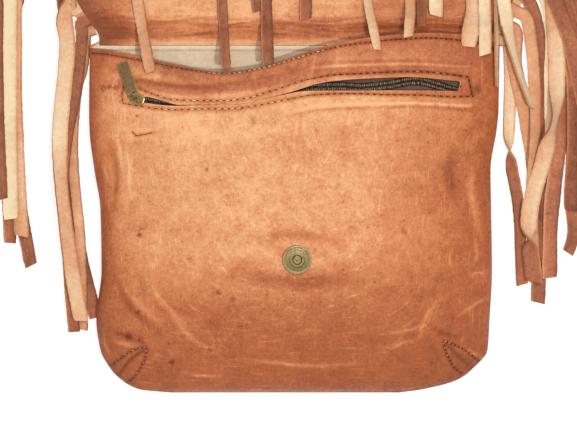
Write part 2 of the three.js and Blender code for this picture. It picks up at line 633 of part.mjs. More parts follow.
// The lining is an inner bag: two nested pockets, joined round the mouth
const LINING_ROWS = BACK_ROWS;
const LINING_COLUMNS = BODY_COLUMNS;
const LINING_SIDE = BODY_HIDE + 4 * GAP;
const ZIP_STACK = BODY_HIDE + ZIP_SINK + COIL_THICK + TAPE_THICK + 3 * GAP;
function liningFaces(inwards) {
  const side = LINING_SIDE + inwards;
  const upper = frontFace(LINING_ROWS, LINING_COLUMNS, side, LINING_SIDE + inwards, 2 * GAP);
  upper.forEach((row) => row.forEach((place, c) => {
    const free = 1 - ramp(0.9, 1, Math.abs(LINING_COLUMNS[c]));
    const zipUnder = frontHeight(place.x, place.y) - (ZIP_STACK + inwards) * free;
    if (upOf(place.y) > 0.5 && free > 0) place.z = Math.min(place.z, zipUnder);
  }));
  return { upper, lower: backFace(LINING_ROWS, LINING_COLUMNS, side, BODY_HIDE + GAP + inwards) };
}
function lining() {
  const outer = liningFaces(0);
  const inner = liningFaces(LINING_CLOTH);
  const grids = [outer.upper, outer.lower, inner.upper, inner.lower];
  const rows = LINING_ROWS.length;
  const columns = LINING_COLUMNS.length;
  const at = (grid, r, c) => (grid * rows + r) * columns + c;
  const index = [];
  const quad = (a, b, c, d) => index.push(a, b, c, a, c, d);
  const end = columns - 1;
  for (let r = 0; r + 1 < rows; r += 1) {
    for (let c = 0; c < end; c += 1) {
      quad(at(0, r, c), at(0, r, c + 1), at(0, r + 1, c + 1), at(0, r + 1, c));
      quad(at(1, r + 1, c), at(1, r + 1, c + 1), at(1, r, c + 1), at(1, r, c));
      quad(at(2, r + 1, c), at(2, r + 1, c + 1), at(2, r, c + 1), at(2, r, c));
      quad(at(3, r, c), at(3, r, c + 1), at(3, r + 1, c + 1), at(3, r + 1, c));
    }
    quad(at(1, r, end), at(1, r + 1, end), at(0, r + 1, end), at(0, r, end));
    quad(at(1, r + 1, 0), at(1, r, 0), at(0, r, 0), at(0, r + 1, 0));
    quad(at(2, r, end), at(2, r + 1, end), at(3, r + 1, end), at(3, r, end));
    quad(at(2, r + 1, 0), at(2, r, 0), at(3, r, 0), at(3, r + 1, 0));
  }
  const top = rows - 1;
  for (let c = 0; c < end; c += 1) {
    quad(at(1, 0, c), at(1, 0, c + 1), at(0, 0, c + 1), at(0, 0, c));
    quad(at(2, 0, c), at(2, 0, c + 1), at(3, 0, c + 1), at(3, 0, c));
    quad(at(2, top, c + 1), at(2, top, c), at(0, top, c), at(0, top, c + 1));
    quad(at(1, top, c + 1), at(1, top, c), at(3, top, c), at(3, top, c + 1));
  }
  quad(at(0, top, 0), at(2, top, 0), at(3, top, 0), at(1, top, 0));
  quad(at(1, top, end), at(3, top, end), at(2, top, end), at(0, top, end));
  return meshOf(grids.flat(2), index);
}

// A flat piece under the window that keeps its depth below the front's outer face
function underWindow(table, width, from, thick, reach) {
  const stations = 12;
  const first = table[0].across * HALF_WIDTH - reach;
  const last = table.at(-1).across * HALF_WIDTH + reach;
  const face = (depth) => [-1, 0, 1].map((hand) => Array.from({ length: stations + 1 }, (_, i) => {
    const x = first + ((last - first) * i) / stations;
    const y = FOLD_Y * read(table, 'across', 'middle', x / HALF_WIDTH) + (hand * width) / 2;
    return new THREE.Vector3(x, y, frontHeight(x, y) - depth);
  }));
  return slab(face(from), face(from + thick));
}
const COIL_DEPTH = BODY_HIDE + ZIP_SINK;
const zipCoil = () => underWindow(CHAIN, COIL_WIDTH, COIL_DEPTH, COIL_THICK, 0);
const zipTape = () => underWindow(WINDOW, TAPE_WIDTH, COIL_DEPTH + COIL_THICK + GAP, TAPE_THICK, 5);

const extruded = (shape, depth, z) => (
  new THREE.ExtrudeGeometry(shape, { depth, bevelEnabled: false, curveSegments: 5 }).translate(0, 0, z));

function roundedBox(length, width, radius) {
  const shape = new THREE.Shape();
  const [x, y] = [length / 2 - radius, width / 2 - radius];
  shape.absarc(x, y, radius, 0, Math.PI / 2);
  shape.absarc(-x, y, radius, Math.PI / 2, Math.PI);
  shape.absarc(-x, -y, radius, Math.PI, 1.5 * Math.PI);
  shape.absarc(x, -y, radius, 1.5 * Math.PI, 2 * Math.PI);
  return shape;
}

// The slider stands on the leather over the window's left end. Its frame has the bail's middle
// at its origin, +X along the chain towards the closed end and +Z out of the leather.
const SLIDER_BACK = 2.4;
const SLIDER_ROUND = 2.6;
const WELD = 0.5;
function zipSlider() {
  const plateTop = -BAIL_RISE;
  const plateUnder = plateTop - SLIDER_THICK;
  const plate = extruded(roundedBox(SLIDER_LENGTH, SLIDER_WIDTH, SLIDER_ROUND), SLIDER_THICK, plateUnder);
  const stemShape = roundedBox(STEM_LENGTH, STEM_WIDTH, STEM_WIDTH * 0.3);
  const stem = extruded(stemShape, COIL_DEPTH + WELD, plateUnder - COIL_DEPTH);
  const arch = new THREE.Shape();
  arch.moveTo(BAIL_OUTER, plateTop - WELD);
  arch.absarc(0, 0, BAIL_OUTER, 0, Math.PI);
  arch.lineTo(-BAIL_OUTER, plateTop - WELD);
  arch.lineTo(-BAIL_INNER, plateTop - WELD);
  arch.absarc(0, 0, BAIL_INNER, Math.PI, 0, true);
  arch.lineTo(BAIL_INNER, plateTop - WELD);
  const bail = extruded(arch, BAIL_WIDTH, -BAIL_WIDTH / 2).rotateX(Math.PI / 2);
  plate.translate(-SLIDER_BACK, 0, 0);
  stem.translate(-SLIDER_BACK, 0, 0);
  return joined([plate, stem, bail].map(solidOf));
}

// The puller's bar passes under the bail, and the bail stands in the hole beyond the bar
function zipPuller() {
  const half = TAB_WIDTH / 2;
  const tip = TAB_LENGTH - TAB_BAR;
  const outline = new THREE.Shape();
  outline.moveTo(-TAB_BAR, -half + TAB_CORNER / 2);
  outline.quadraticCurveTo(-TAB_BAR, -half, TAB_CORNER, -half);
  outline.lineTo(tip - TAB_CORNER, -half);
  outline.quadraticCurveTo(tip, -half, tip, -half + TAB_CORNER);
  outline.lineTo(tip, half - TAB_CORNER);
  outline.quadraticCurveTo(tip, half, tip - TAB_CORNER, half);
  outline.lineTo(TAB_CORNER, half);
  outline.quadraticCurveTo(-TAB_BAR, half, -TAB_BAR, half - TAB_CORNER / 2);
  const hole = new THREE.Path();
  hole.moveTo(TAB_BAR, -TAB_HOLE_HALF);
  hole.lineTo(TAB_BAR, TAB_HOLE_HALF);
  hole.lineTo(TAB_HOLE_END, TAB_HOLE_HALF);
  hole.lineTo(TAB_HOLE_END, -TAB_HOLE_HALF);
  outline.holes.push(hole);
  return extruded(outline, TAB_THICK, -TAB_THICK / 2);
}

const LATHE_SIDES = 16;
function turned(profile) {
  const points = profile.map(([r, z]) => new THREE.Vector2(r, z));
  return new THREE.LatheGeometry(points, LATHE_SIDES).rotateX(Math.PI / 2);
}

function snapSocket() {
  const outer = SNAP_DIAMETER / 2;
  const bore = SNAP_BORE / 2;
  return turned([
    [bore, 0],
    [outer, 0],
    [outer, 0.3 * SNAP_THICK],
    [0.93 * outer, 0.75 * SNAP_THICK],
    [0.8 * outer, 0.95 * SNAP_THICK],
    [1.6 * bore, SNAP_THICK],
    [1.15 * bore, 0.9 * SNAP_THICK],
    [bore, 0.7 * SNAP_THICK],
    [bore, 0],
  ]);
}

function snapRivet() {
  const outer = RIVET_DIAMETER / 2;
  return turned([
    [0, 0],
    [outer, 0],
    [outer, 0.6 * RIVET_HEIGHT],
    [0.75 * outer, 0.9 * RIVET_HEIGHT],
    [0, RIVET_HEIGHT],
  ]);
}

function flapSnap() {
  const outer = SNAP_DIAMETER / 2;
  const stud = STUD_DIAMETER / 2;
  return turned([
    [0, 0],
    [outer, 0],
    [outer, 0.3 * SNAP_THICK],
    [0.9 * outer, 0.8 * SNAP_THICK],
    [0.7 * outer, SNAP_THICK],
    [stud, SNAP_THICK],
    [stud, SNAP_THICK + 0.8 * STUD_HEIGHT],
    [0.8 * stud, SNAP_THICK + STUD_HEIGHT],
    [0, SNAP_THICK + STUD_HEIGHT],
  ]);
}

// Colours and finishes
const finish = (color, roughness, metalness) => (
  () => new THREE.MeshStandardMaterial({ color, roughness, metalness }));
const tan = finish(0xb8713f, 0.5, 0);
const flesh = finish(0xcf9a6b, 0.85, 0);
const cotton = finish(0xe0cdb0, 0.95, 0);
const tape = finish(0x5a443b, 0.9, 0);
const nylon = finish(0x6a5240, 0.6, 0);
const brass = finish(0xb99c63, 0.35, 1);
const aged = finish(0x8a6a4a, 0.45, 1);

const bag = new THREE.Group();
function add(name, geometry, material, parent = bag) {
  const mesh = new THREE.Mesh(geometry, material);
  mesh.name = name;
  parent.add(mesh);
  return mesh;
}

add('back_and_flap_leather', backAndFlap(), tan());
add('front_panel', frontPanel(), tan());
add('flap_facing', flapFacing(), tan());
add('lining', lining(), cotton());
const BAND_START = 0.8;
const LEFT_END = 17;
const TOP_END = 37;
const BAND_GAP = 0.05;
add('fringe_left', fringe(BAND_START, LEFT_END - BAND_GAP, LEFT_STRIPS, false), flesh());
add('fringe_top', fringe(LEFT_END, TOP_END - BAND_GAP, TOP_STRIPS, true), flesh());
add('fringe_right', fringe(TOP_END, STRIP_COUNT - BAND_START, RIGHT_STRIPS, false), flesh());
add('zip_tape', zipTape(), tape());
add('zip_coil', zipCoil(), nylon());

// The slider's frame stands square to the leather at the window's left end
const BAIL_ACROSS = -0.775;
const bailX = BAIL_ACROSS * HALF_WIDTH;
const bailY = FOLD_Y * read(WINDOW, 'across', 'middle', BAIL_ACROSS) + 1;
const reach = SLIDER_LENGTH / 2;
const slopeX = (frontHeight(bailX + reach, bailY) - frontHeight(bailX - reach, bailY)) / (2 * reach);
const slopeY = (frontHeight(bailX, bailY + reach) - frontHeight(bailX, bailY - reach)) / (2 * reach);
const outOfLeather = new THREE.Vector3(-slopeX, -slopeY, 1).normalize();
const zipFrame = new THREE.Group();
zipFrame.quaternion.setFromUnitVectors(new THREE.Vector3(0, 0, 1), outOfLeather);
zipFrame.position.set(bailX, bailY, frontHeight(bailX, bailY));
zipFrame.position.addScaledVector(outOfLeather, GAP + SLIDER_THICK + BAIL_RISE);
bag.add(zipFrame);
const slider = add('zip_slider', zipSlider(), aged(), zipFrame);
slider.rotation.z = THREE.MathUtils.degToRad(SLIDER_TURN);
const puller = add('zip_puller', zipPuller(), aged(), zipFrame);
puller.rotation.set(0, THREE.MathUtils.degToRad(TAB_REST), THREE.MathUtils.degToRad(TAB_TURN), 'ZYX');

// The two halves of the snap meet when the flap is folded over the mouth
const snapY = FOLD_Y - SNAP_FROM_FOLD;
const snapSeat = frontHeight(SNAP_ACROSS, snapY) + GAP;
add('snap_socket', snapSocket(), brass()).position.set(SNAP_ACROSS, snapY, snapSeat);
add('snap_rivet', snapRivet(), brass()).position.set(SNAP_ACROSS, snapY, snapSeat);
const facingTop = facingUnder(SNAP_ACROSS, FOLD_Y + SNAP_FROM_FOLD) + FACING_HIDE;
add('flap_snap', flapSnap(), brass()).position.set(SNAP_ACROSS, FOLD_Y + SNAP_FROM_FOLD, facingTop + GAP);

export default bag;
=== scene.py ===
import math
from bisect import bisect_right

import bmesh
import bpy
from mathutils import Matrix, Vector, noise
from mathutils.kdtree import KDTree


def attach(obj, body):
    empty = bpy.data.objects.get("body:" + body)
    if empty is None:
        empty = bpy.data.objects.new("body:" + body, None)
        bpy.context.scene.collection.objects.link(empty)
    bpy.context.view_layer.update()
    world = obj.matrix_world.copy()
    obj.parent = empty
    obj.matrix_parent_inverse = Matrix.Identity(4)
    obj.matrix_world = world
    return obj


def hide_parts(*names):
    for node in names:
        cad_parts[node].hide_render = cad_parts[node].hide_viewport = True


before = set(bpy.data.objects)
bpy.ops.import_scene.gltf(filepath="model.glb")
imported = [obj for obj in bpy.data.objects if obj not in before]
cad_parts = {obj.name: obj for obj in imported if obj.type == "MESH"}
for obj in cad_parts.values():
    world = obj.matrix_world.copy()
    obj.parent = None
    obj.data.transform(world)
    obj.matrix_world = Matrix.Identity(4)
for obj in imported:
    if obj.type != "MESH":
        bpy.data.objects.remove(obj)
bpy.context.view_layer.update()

# The bag lies on a white table and is seen from straight above through a long lens.
# A window to the right throws its shadows to the left, and a pale ceiling fills them.
VIEW_WIDTH = 0.3635
VIEW_CENTRE = (-0.0041, 0.0016)
VIEW_LEVEL = 0.012
LENS = 300
SENSOR = 36

camera_data = bpy.data.cameras.new("camera")
camera_data.lens = LENS
camera_data.sensor_width = SENSOR
camera = bpy.data.objects.new("camera", camera_data)
camera.location = (*VIEW_CENTRE, VIEW_LEVEL + VIEW_WIDTH * LENS / SENSOR)
bpy.context.scene.collection.objects.link(camera)
bpy.context.scene.camera = camera
bpy.context.scene.view_settings.view_transform = "Standard"


def softbox(name, place, size, power, shines=True):
    """A round lamp that points at the middle of the table."""
    light = bpy.data.lights.new(name, "AREA")
    light.shape = "DISK"
    light.size = size
    light.energy = power
    lamp = bpy.data.objects.new(name, light)
    lamp.location = place
    lamp.rotation_euler = (-Vector(place)).to_track_quat("-Z", "Y").to_euler()
    lamp.visible_glossy = shines
    bpy.context.scene.collection.objects.link(lamp)


softbox("window_light", (0.45, -0.2, 1.8), size=0.12, power=13.2, shines=False)
softbox("ceiling_light", (0.0, 0.46, 1.9), size=0.7, power=8.5)

room = bpy.data.worlds.new("white_room")
room.use_nodes = True
walls = room.node_tree.nodes["Background"].inputs
walls["Color"].default_value = (1, 0.99, 0.975, 1)
walls["Strength"].default_value = 0.4
bpy.context.scene.world = room


def new_material(name, roughness, metallic=0.0, specular=0.5):
    material = bpy.data.materials.new(name)
    material.use_nodes = True
    shader = material.node_tree.nodes["Principled BSDF"]
    shader.inputs["Roughness"].default_value = roughness
    shader.inputs["Metallic"].default_value = metallic
    shader.inputs["Specular IOR Level"].default_value = specular
    return material, material.node_tree, shader


def rgb(red, green, blue):
    """A colour as it looks on a screen, as the linear one that a shader takes."""
    return (*[((c / 255 + 0.055) / 1.055) ** 2.4 if c > 10 else c / 3294 for c in (red, green, blue)], 1)


TABLE_LEVEL = -0.0004
table_material, tree, shader = new_material("white_table", 0.7, specular=0.1)
shader.inputs["Base Color"].default_value = rgb(170, 169, 168)
shader.inputs["Emission Color"].default_value = rgb(255, 255, 255)
shader.inputs["Emission Strength"].default_value = 0.75
bm = bmesh.new()
bmesh.ops.create_grid(bm, x_segments=1, y_segments=1, size=4)
bmesh.ops.translate(bm, verts=bm.verts, vec=(0, 0, TABLE_LEVEL))
mesh = bpy.data.meshes.new("table")
bm.to_mesh(mesh)
bm.free()
table = bpy.data.objects.new("table", mesh)
table.data.materials.append(table_material)
bpy.context.scene.collection.objects.link(table)

# The back of the bag and the outer side of its flap are one hide, 1.4 mm thick.
# It lies flat on the table, turns up to the seam round the bag's edge, and runs on over the
# fold to the flap, whose grain side faces the table.
BAG_HEIGHT = 0.219
HALF_WIDTH = 0.130
FOLD = BAG_HEIGHT / 2
HIDE = 0.0014
GAP = 0.0003
SEAM_RISE = 0.0055
SEAM_ROUND = 0.010
BACK_SEAM = SEAM_RISE - GAP / 2
FLAP_LENGTH = 0.176
HALF_FLAP = 0.150
# Half the bag's width at shares of its height, and half the flap's at shares of its length.
LEFT_SIDE = [
    (0, -0.6), (0.008, -0.75), (0.037, -0.843), (0.066, -0.892), (0.123, -0.945), (0.21, -0.965),
    (0.353, -0.94), (0.526, -0.945), (0.64, -0.974), (0.756, -0.998), (0.81, -1), (1, -0.996),
]
RIGHT_SIDE = [
    (0, 0.5), (0.008, 0.61), (0.037, 0.79), (0.066, 0.858), (0.123, 0.935), (0.21, 0.945),
    (0.353, 0.957), (0.526, 0.953), (0.64, 0.95), (0.756, 0.979), (0.81, 0.988), (1, 0.994),
]
FLAP_HALVES = [
    (0, 0.823), (0.03, 0.825), (0.08, 0.857), (0.152, 0.913), (0.3, 0.975), (0.42, 1), (0.55, 0.995),
    (0.7, 0.965), (0.8, 0.92), (0.88, 0.84), (0.94, 0.73), (0.98, 0.58), (1, 0.4),
]


def smooth_curve(rows):
    """A smooth line through places and values that doesn't swing past them."""
    places, values = zip(*rows)
    slopes = [(b[1] - a[1]) / (b[0] - a[0]) for a, b in zip(rows, rows[1:])]
    inner = [2 * a * b / (a + b) if a * b > 0 else 0 for a, b in zip(slopes, slopes[1:])]
    tangents = [slopes[0], *inner, slopes[-1]]

    def at(place):
        if place <= places[0]:
            return values[0]
        if place >= places[-1]:
            return values[-1]
        k = bisect_right(places, place) - 1
        span = places[k + 1] - places[k]
        t = (place - places[k]) / span
        rise = t * t * (3 - 2 * t)
        ease = span * t * (1 - t) * ((1 - t) * tangents[k] - t * tangents[k + 1])
        return values[k] * (1 - rise) + values[k + 1] * rise + ease

    return at


def ramp(low, high, value):
    t = min(1.0, max(0.0, (value - low) / (high - low)))
    return t * t * (3 - 2 * t)


def bell(distance, width):
    return math.exp(-((distance / width) ** 2))


left_share = smooth_curve(LEFT_SIDE)
right_share = smooth_curve(RIGHT_SIDE)
flap_share = smooth_curve(FLAP_HALVES)


def sides(up):
    return HALF_WIDTH * left_share(up), HALF_WIDTH * right_share(up)


def up_bag(y):
    """How far up the bag a place is: 0 at the bottom, and 1 at the fold."""
    return (y + FOLD) / BAG_HEIGHT


def turned_up(distance):
    return math.sqrt(1 - (1 - min(distance / SEAM_ROUND, 1)) ** 2)


def back_place(across, along):
    """A point of the hide's outer side: along runs from 0 to 1 on the back and on to 2 over the flap."""
    u = math.sin(across * math.pi / 2)
    if along > 1:
        share = along - 1
        half = HALF_FLAP * flap_share(share)
        return Vector((u * half, FOLD + share * FLAP_LENGTH, 0))
    left, right = sides(along)
    half = (right - left) / 2
    flat = turned_up((1 - abs(u)) * half) * turned_up(along * BAG_HEIGHT)
    return Vector(((left + right) / 2 + u * half, along * BAG_HEIGHT - FOLD, BACK_SEAM * (1 - flat)))


def put(tree, kind, settings=(), **sockets):
    """Adds a shader node, with its settings and with a value or a link for each named socket."""
    made = tree.nodes.new("ShaderNode" + kind)
    for name, value in dict(settings).items():
        setattr(made, name, value)
    for name, value in sockets.items():
        socket = made.inputs[name.replace("_", " ")]
        if isinstance(value, bpy.types.NodeSocket):
            tree.links.new(value, socket)
        else:
            socket.default_value = value
    return made


def maths(tree, operation, *values):
    """The result of a Math node, from numbers or links."""
    made = put(tree, "Math", {"operation": operation})
    for socket, value in zip(made.inputs, values):
        if isinstance(value, bpy.types.NodeSocket):
            tree.links.new(value, socket)
        else:
            socket.default_value = value
    return made.outputs[0]


def eased(tree, value, low, high):
    """Rises smoothly from 0 where value is low to 1 where it is high."""
    return put(
        tree, "MapRange", {"interpolation_type": "SMOOTHSTEP"}, Value=value, From_Min=low, From_Max=high
    ).outputs["Result"]


def painted(tree, layer, output="Fac"):
    """What a layer of the mesh holds."""
    return put(tree, "Attribute", {"attribute_name": layer}).outputs[output]


def own_place(tree):
    return put(tree, "TexCoord").outputs["Object"]


def cloud(tree, place, scale, detail, spread=0.5):
    """Soft noise about 0.5."""
    return put(tree, "TexNoise", Vector=place, Scale=scale, Detail=detail, Roughness=spread).outputs["Fac"]


def uneven(tree, tone, pattern, share):
    """A tone with a share of a pattern laid over it."""
    return maths(tree, "MULTIPLY_ADD", maths(tree, "SUBTRACT", pattern, 0.5), share, tone)


def shown_in(tree, tone, colours):
    """Colours spread evenly over a tone from 0 to 1."""
    made = put(tree, "ValToRGB", Fac=tone)
    stops = made.color_ramp.elements
    stops[0].color, stops[1].color = colours[0], colours[-1]
    for number, shown in enumerate(colours[1:-1]):
        stops.new((number + 1) / (len(colours) - 1)).color = shown
    return made.outputs["Color"]


def roughened(tree, shader, height, strength, depth):
    bump = put(tree, "Bump", Strength=strength, Distance=depth, Height=height)
    tree.links.new(bump.outputs["Normal"], shader.inputs["Normal"])


def gloss_from(tree, shader, made, low, high):
    """Lets a MapRange node set how rough a finish is, between two values."""
    made.inputs["To Min"].default_value = low
    made.inputs["To Max"].default_value = high
    tree.links.new(made.outputs["Result"], shader.inputs["Roughness"])


def leather(name, tones, roughness=0.5, seams=False, marks=()):
    """Vegetable tanned leather: clouded colour, pores, fine creases along the edges, and darker and paler
    places.
    The point attribute shade carries the colour from the first of the tones to the last."""
    material, tree, shader = new_material(name, roughness, specular=0.4)
    place = own_place(tree)
    mottle, fine = cloud(tree, place, 120, 5, 0.6), cloud(tree, place, 430, 4, 0.6)
    broad, fleck = cloud(tree, place, 30, 3, 0.6), cloud(tree, place, 1200, 2, 0.6)
    tone = painted(tree, "shade")
    for pattern, share in ((broad, 0.3), (mottle, 0.36), (fine, 0.45), (fleck, 0.5)):
        tone = uneven(tree, tone, pattern, share)
    pores = put(tree, "TexVoronoi", Vector=place, Scale=300).outputs["Distance"]
    pore = maths(tree, "MULTIPLY", eased(tree, pores, 0.3, 0.08), eased(tree, mottle, 0.5, 0.6))
    tone = maths(tree, "MULTIPLY_ADD", pore, 0.26, tone)
    flow = put(tree, "CombineXYZ", X=painted(tree, "inwards"), Y=painted(tree, "around")).outputs["Vector"]
    streak = eased(tree, cloud(tree, flow, 1, 3), 0.56, 0.74)
    tone = maths(tree, "MULTIPLY_ADD", streak, -0.2, tone)
    lie = put(tree, "Mapping", Vector=place, Scale=(1500, 190, 100), Rotation=(0, 0, 0.5)).outputs["Vector"]
    wisp = maths(
        tree, "MULTIPLY", eased(tree, cloud(tree, lie, 1, 3), 0.54, 0.7),
        eased(tree, cloud(tree, place, 45, 2, 0.6), 0.4, 0.6),
    )
    tone = maths(tree, "MULTIPLY_ADD", wisp, -0.14, tone)
    height = maths(tree, "MULTIPLY_ADD", pores, 0.5, maths(tree, "MULTIPLY", fine, 0.9))
    height = maths(tree, "MULTIPLY_ADD", streak, 0.4, height)
    if seams:
        off = put(
            tree, "VectorMath", {"operation": "LENGTH"}, Vector=painted(tree, "seam_away", "Vector")
        ).outputs["Value"]
        along = painted(tree, "seam_along")
        between = maths(tree, "ABSOLUTE", maths(tree, "SUBTRACT", along, maths(tree, "ROUND", along)))
        apart = maths(tree, "POWER", maths(tree, "MULTIPLY", between, HOLE_EVERY / HOLE_LONG), 2.0)
        beside = maths(tree, "POWER", maths(tree, "MULTIPLY", off, 1 / HOLE_WIDE), 2.0)
        across = put(tree, "SeparateXYZ", Vector=place).outputs["X"]
        drawn = maths(tree, "MULTIPLY_ADD", eased(tree, across, 0.0, 0.03), -0.5, 1.0)
        hole = eased(tree, maths(tree, "MULTIPLY", maths(tree, "ADD", apart, beside), drawn), 1.3, 0.3)
        # Painted shade: the leather darkens in the groove along each seam.
        tone = maths(tree, "MULTIPLY_ADD", eased(tree, off, 0.002, 0.0003), 0.24, tone)
        height = maths(tree, "MULTIPLY_ADD", hole, -2.0, height)
    ruddy = maths(tree, "MULTIPLY", eased(tree, cloud(tree, place, 55, 4, 0.6), 0.5, 0.72), 0.3)
    colour = put(
        tree, "MixRGB", {"blend_type": "MULTIPLY"}, Fac=ruddy, Color1=shown_in(tree, tone, tones),
        Color2=rgb(236, 186, 172),
    ).outputs["Color"]
    if marks:
        ragged = put(tree, "TexNoise", Vector=place, Scale=300, Detail=3).outputs["Color"]
        shift = put(tree, "VectorMath", {"operation": "SCALE"}, Vector=ragged, Scale=MARK_RAGGED)
        about = put(tree, "VectorMath", {"operation": "ADD"}, Vector=place)
        tree.links.new(shift.outputs["Vector"], about.inputs[1])
        flat = put(tree, "VectorMath", {"operation": "MULTIPLY"}, Vector=about.outputs["Vector"])
        flat.inputs[1].default_value = (1, 1, 0)
        stain = 0.0
        for across, up, size, depth in marks:
            gap = put(tree, "VectorMath", {"operation": "DISTANCE"}, Vector=flat.outputs["Vector"])
            gap.inputs[1].default_value = (
                across * HALF_WIDTH + MARK_RAGGED / 2, up * FOLD + MARK_RAGGED / 2, 0)
            near = eased(tree, gap.outputs["Value"], size * 1.5, size * 0.3)
            stain = maths(tree, "MAXIMUM", maths(tree, "MULTIPLY", near, depth), stain)
        stain = maths(tree, "MULTIPLY", stain, eased(tree, fine, 0.3, 0.5))
        colour = put(tree, "MixRGB", Fac=stain, Color1=colour, Color2=rgb(112, 46, 30)).outputs["Color"]
    # Painted shade: the needle holes are darkened, as the shade inside them.
    if seams:
        painted_hole_shade = maths(tree, "MULTIPLY", hole, 0.9)
        colour = put(tree, "MixRGB", Fac=painted_hole_shade, Color1=colour, Color2=rgb(74, 34, 22)).outputs["Color"]
    tree.links.new(colour, shader.inputs["Base Color"])
    roughened(tree, shader, height, 0.8, 0.0003)
    gloss = put(tree, "MapRange", Value=fine, From_Min=0.35, From_Max=0.65)
    gloss_from(tree, shader, gloss, roughness - 0.1, roughness + 0.12)
    return material


def suede(name, *colours):
    """The flesh side of leather and its cut edges: short matted fibres with no gloss.
    The point attribute tone carries each piece from its palest to its deepest colour."""
    material, tree, shader = new_material(name, 0.92, specular=0.15)
    shader.inputs["Sheen Weight"].default_value = 0.2
    place = own_place(tree)
    tone = painted(tree, "tone")
    for scale, share in ((90, 0.5), (420, 0.45), (1300, 0.35)):
        tone = uneven(tree, tone, cloud(tree, place, scale, 4, 0.65), share)
    tree.links.new(shown_in(tree, tone, colours), shader.inputs["Base Color"])
    roughened(tree, shader, cloud(tree, place, 1500, 6, 0.75), 0.5, 0.0003)
    return material


TAN = (rgb(255, 192, 138), rgb(226, 143, 92), rgb(189, 104, 60), rgb(148, 77, 43))
grain_leather = leather("tan_leather", TAN)
flesh_side = suede("flesh_side", rgb(255, 232, 192), rgb(232, 168, 124), rgb(164, 100, 68))


def grid_of(columns, rows, place_of, *layers):
    """A sheet of quads, laid out by place_of(across from -1 to 1, along from 0 to 1)."""
    bm = bmesh.new()
    bmesh.ops.create_grid(bm, x_segments=columns, y_segments=rows, size=1)
    made = [bm.verts.layers.float.new(name) for name in layers]
    for vert in bm.verts:
        vert.co = place_of(vert.co.x, (vert.co.y + 1) / 2)
    return bm, made


def finished(name, bm, materials, replaced=None, body="bag"):
    """Turns a mesh into a smooth shaded piece of the bag."""
    mesh = bpy.data.meshes.new(name)
    bm.to_mesh(mesh)
    bm.free()
    mesh.shade_smooth()
    for material in materials:
        mesh.materials.append(material)
    piece = bpy.data.objects.new(name, mesh)
    bpy.context.scene.collection.objects.link(piece)
    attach(piece, body)
    if replaced:
        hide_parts(replaced)
    return piece


def thicken(piece, thickness, outwards=-1, inner=1, rim=1):
    """Gives a sheet its thickness and rounds its edges: inner and rim choose their materials."""
    solid = piece.modifiers.new("thickness", "SOLIDIFY")
    solid.thickness = thickness
    solid.offset = outwards
    solid.material_offset = inner
    solid.material_offset_rim = rim
    edge = piece.modifiers.new("soft_edges", "BEVEL")
    edge.width = thickness * 0.25
    edge.segments = 2
    edge.limit_method = "ANGLE"
    edge.angle_limit = math.radians(50)


bm, (shade,) = grid_of(60, 120, lambda across, along: back_place(across, along * 2), "shade")
for vert in bm.verts:
    vert[shade] = 0.5
bmesh.ops.reverse_faces(bm, faces=bm.faces)
back = finished(
    "back_and_flap", bm, [grain_leather, flesh_side], "back_and_flap_leather")
thicken(back, HIDE, rim=0)

# The front is one bulging panel of the same hide, sewn to the back round its edge. Its upper edge
# sags, its bottom corners are darted, and a slit for the pocket's zip is cut across it near the top.
BAG_DEPTH = 0.034
FRONT_SEAM = SEAM_RISE + GAP / 2
BULGE = BAG_DEPTH - FRONT_SEAM
# How full the bag is at shares of its height, and how high its rim is from side to side.
BULGES = [
    (0, 0), (0.012, 0.26), (0.04, 0.45), (0.08, 0.61), (0.14, 0.77), (0.22, 0.9), (0.36, 1),
    (0.46, 1), (0.6, 0.92), (0.72, 0.77), (0.86, 0.57), (1, 0.4), (1.08, 0.32),
]
RIM = [
    (-1, -0.007), (-0.84, -0.021), (-0.6, -0.055), (-0.36, -0.078), (-0.2, -0.069), (-0.05, -0.043),
    (0.08, -0.016), (0.2, 0.004), (0.38, 0.023), (0.65, 0.035), (0.88, 0.026), (1, 0),
]
# Where the slit's middle is, and the share of SLIT_HALF by which it gapes.
SLIT_MIDDLE = [
    (-0.809, 0.69), (-0.717, 0.683), (-0.645, 0.668), (-0.557, 0.652), (-0.31, 0.666), (-0.058, 0.714),
    (0.024, 0.738), (0.111, 0.757), (0.194, 0.765), (0.325, 0.771), (0.552, 0.777), (0.751, 0.767),
    (0.809, 0.763),
]
SLIT_HALVES = [
    (-0.809, 0.48), (-0.717, 0.48), (-0.645, 0.36), (-0.557, 0.07), (-0.4, 0.02), (-0.12, 0.02),
    (0.0, 0.12), (0.111, 0.54), (0.194, 0.74), (0.325, 0.89), (0.552, 1), (0.751, 0.8), (0.809, 0.73),
]
SLIT_HALF = 0.0042
SLIT_END = 0.809 * HALF_WIDTH
SNAP_PLACE = (0.0013, -0.0255)
bulge_at = smooth_curve(BULGES)
rim_share = smooth_curve(RIM)
slit_share = smooth_curve(SLIT_MIDDLE)
slit_half_share = smooth_curve(SLIT_HALVES)


def crown(u):
    return (1 - min(1, abs(u)) ** 2.6) ** 0.55


def rim_y(x):
    return FOLD + BAG_HEIGHT * rim_share(x / HALF_WIDTH)


def slit_y(x):
    return FOLD * slit_share(x / HALF_WIDTH)


def slit_half(x):
    return SLIT_HALF * slit_half_share(x / HALF_WIDTH)


def across_share(x, y):
    left, right = sides(up_bag(y))
    return (2 * x - left - right) / (right - left)


def front_height(x, y):
    """The front's outer side, before its small dents and creases."""
    return FRONT_SEAM + BULGE * bulge_at(up_bag(y)) * crown(across_share(x, y))


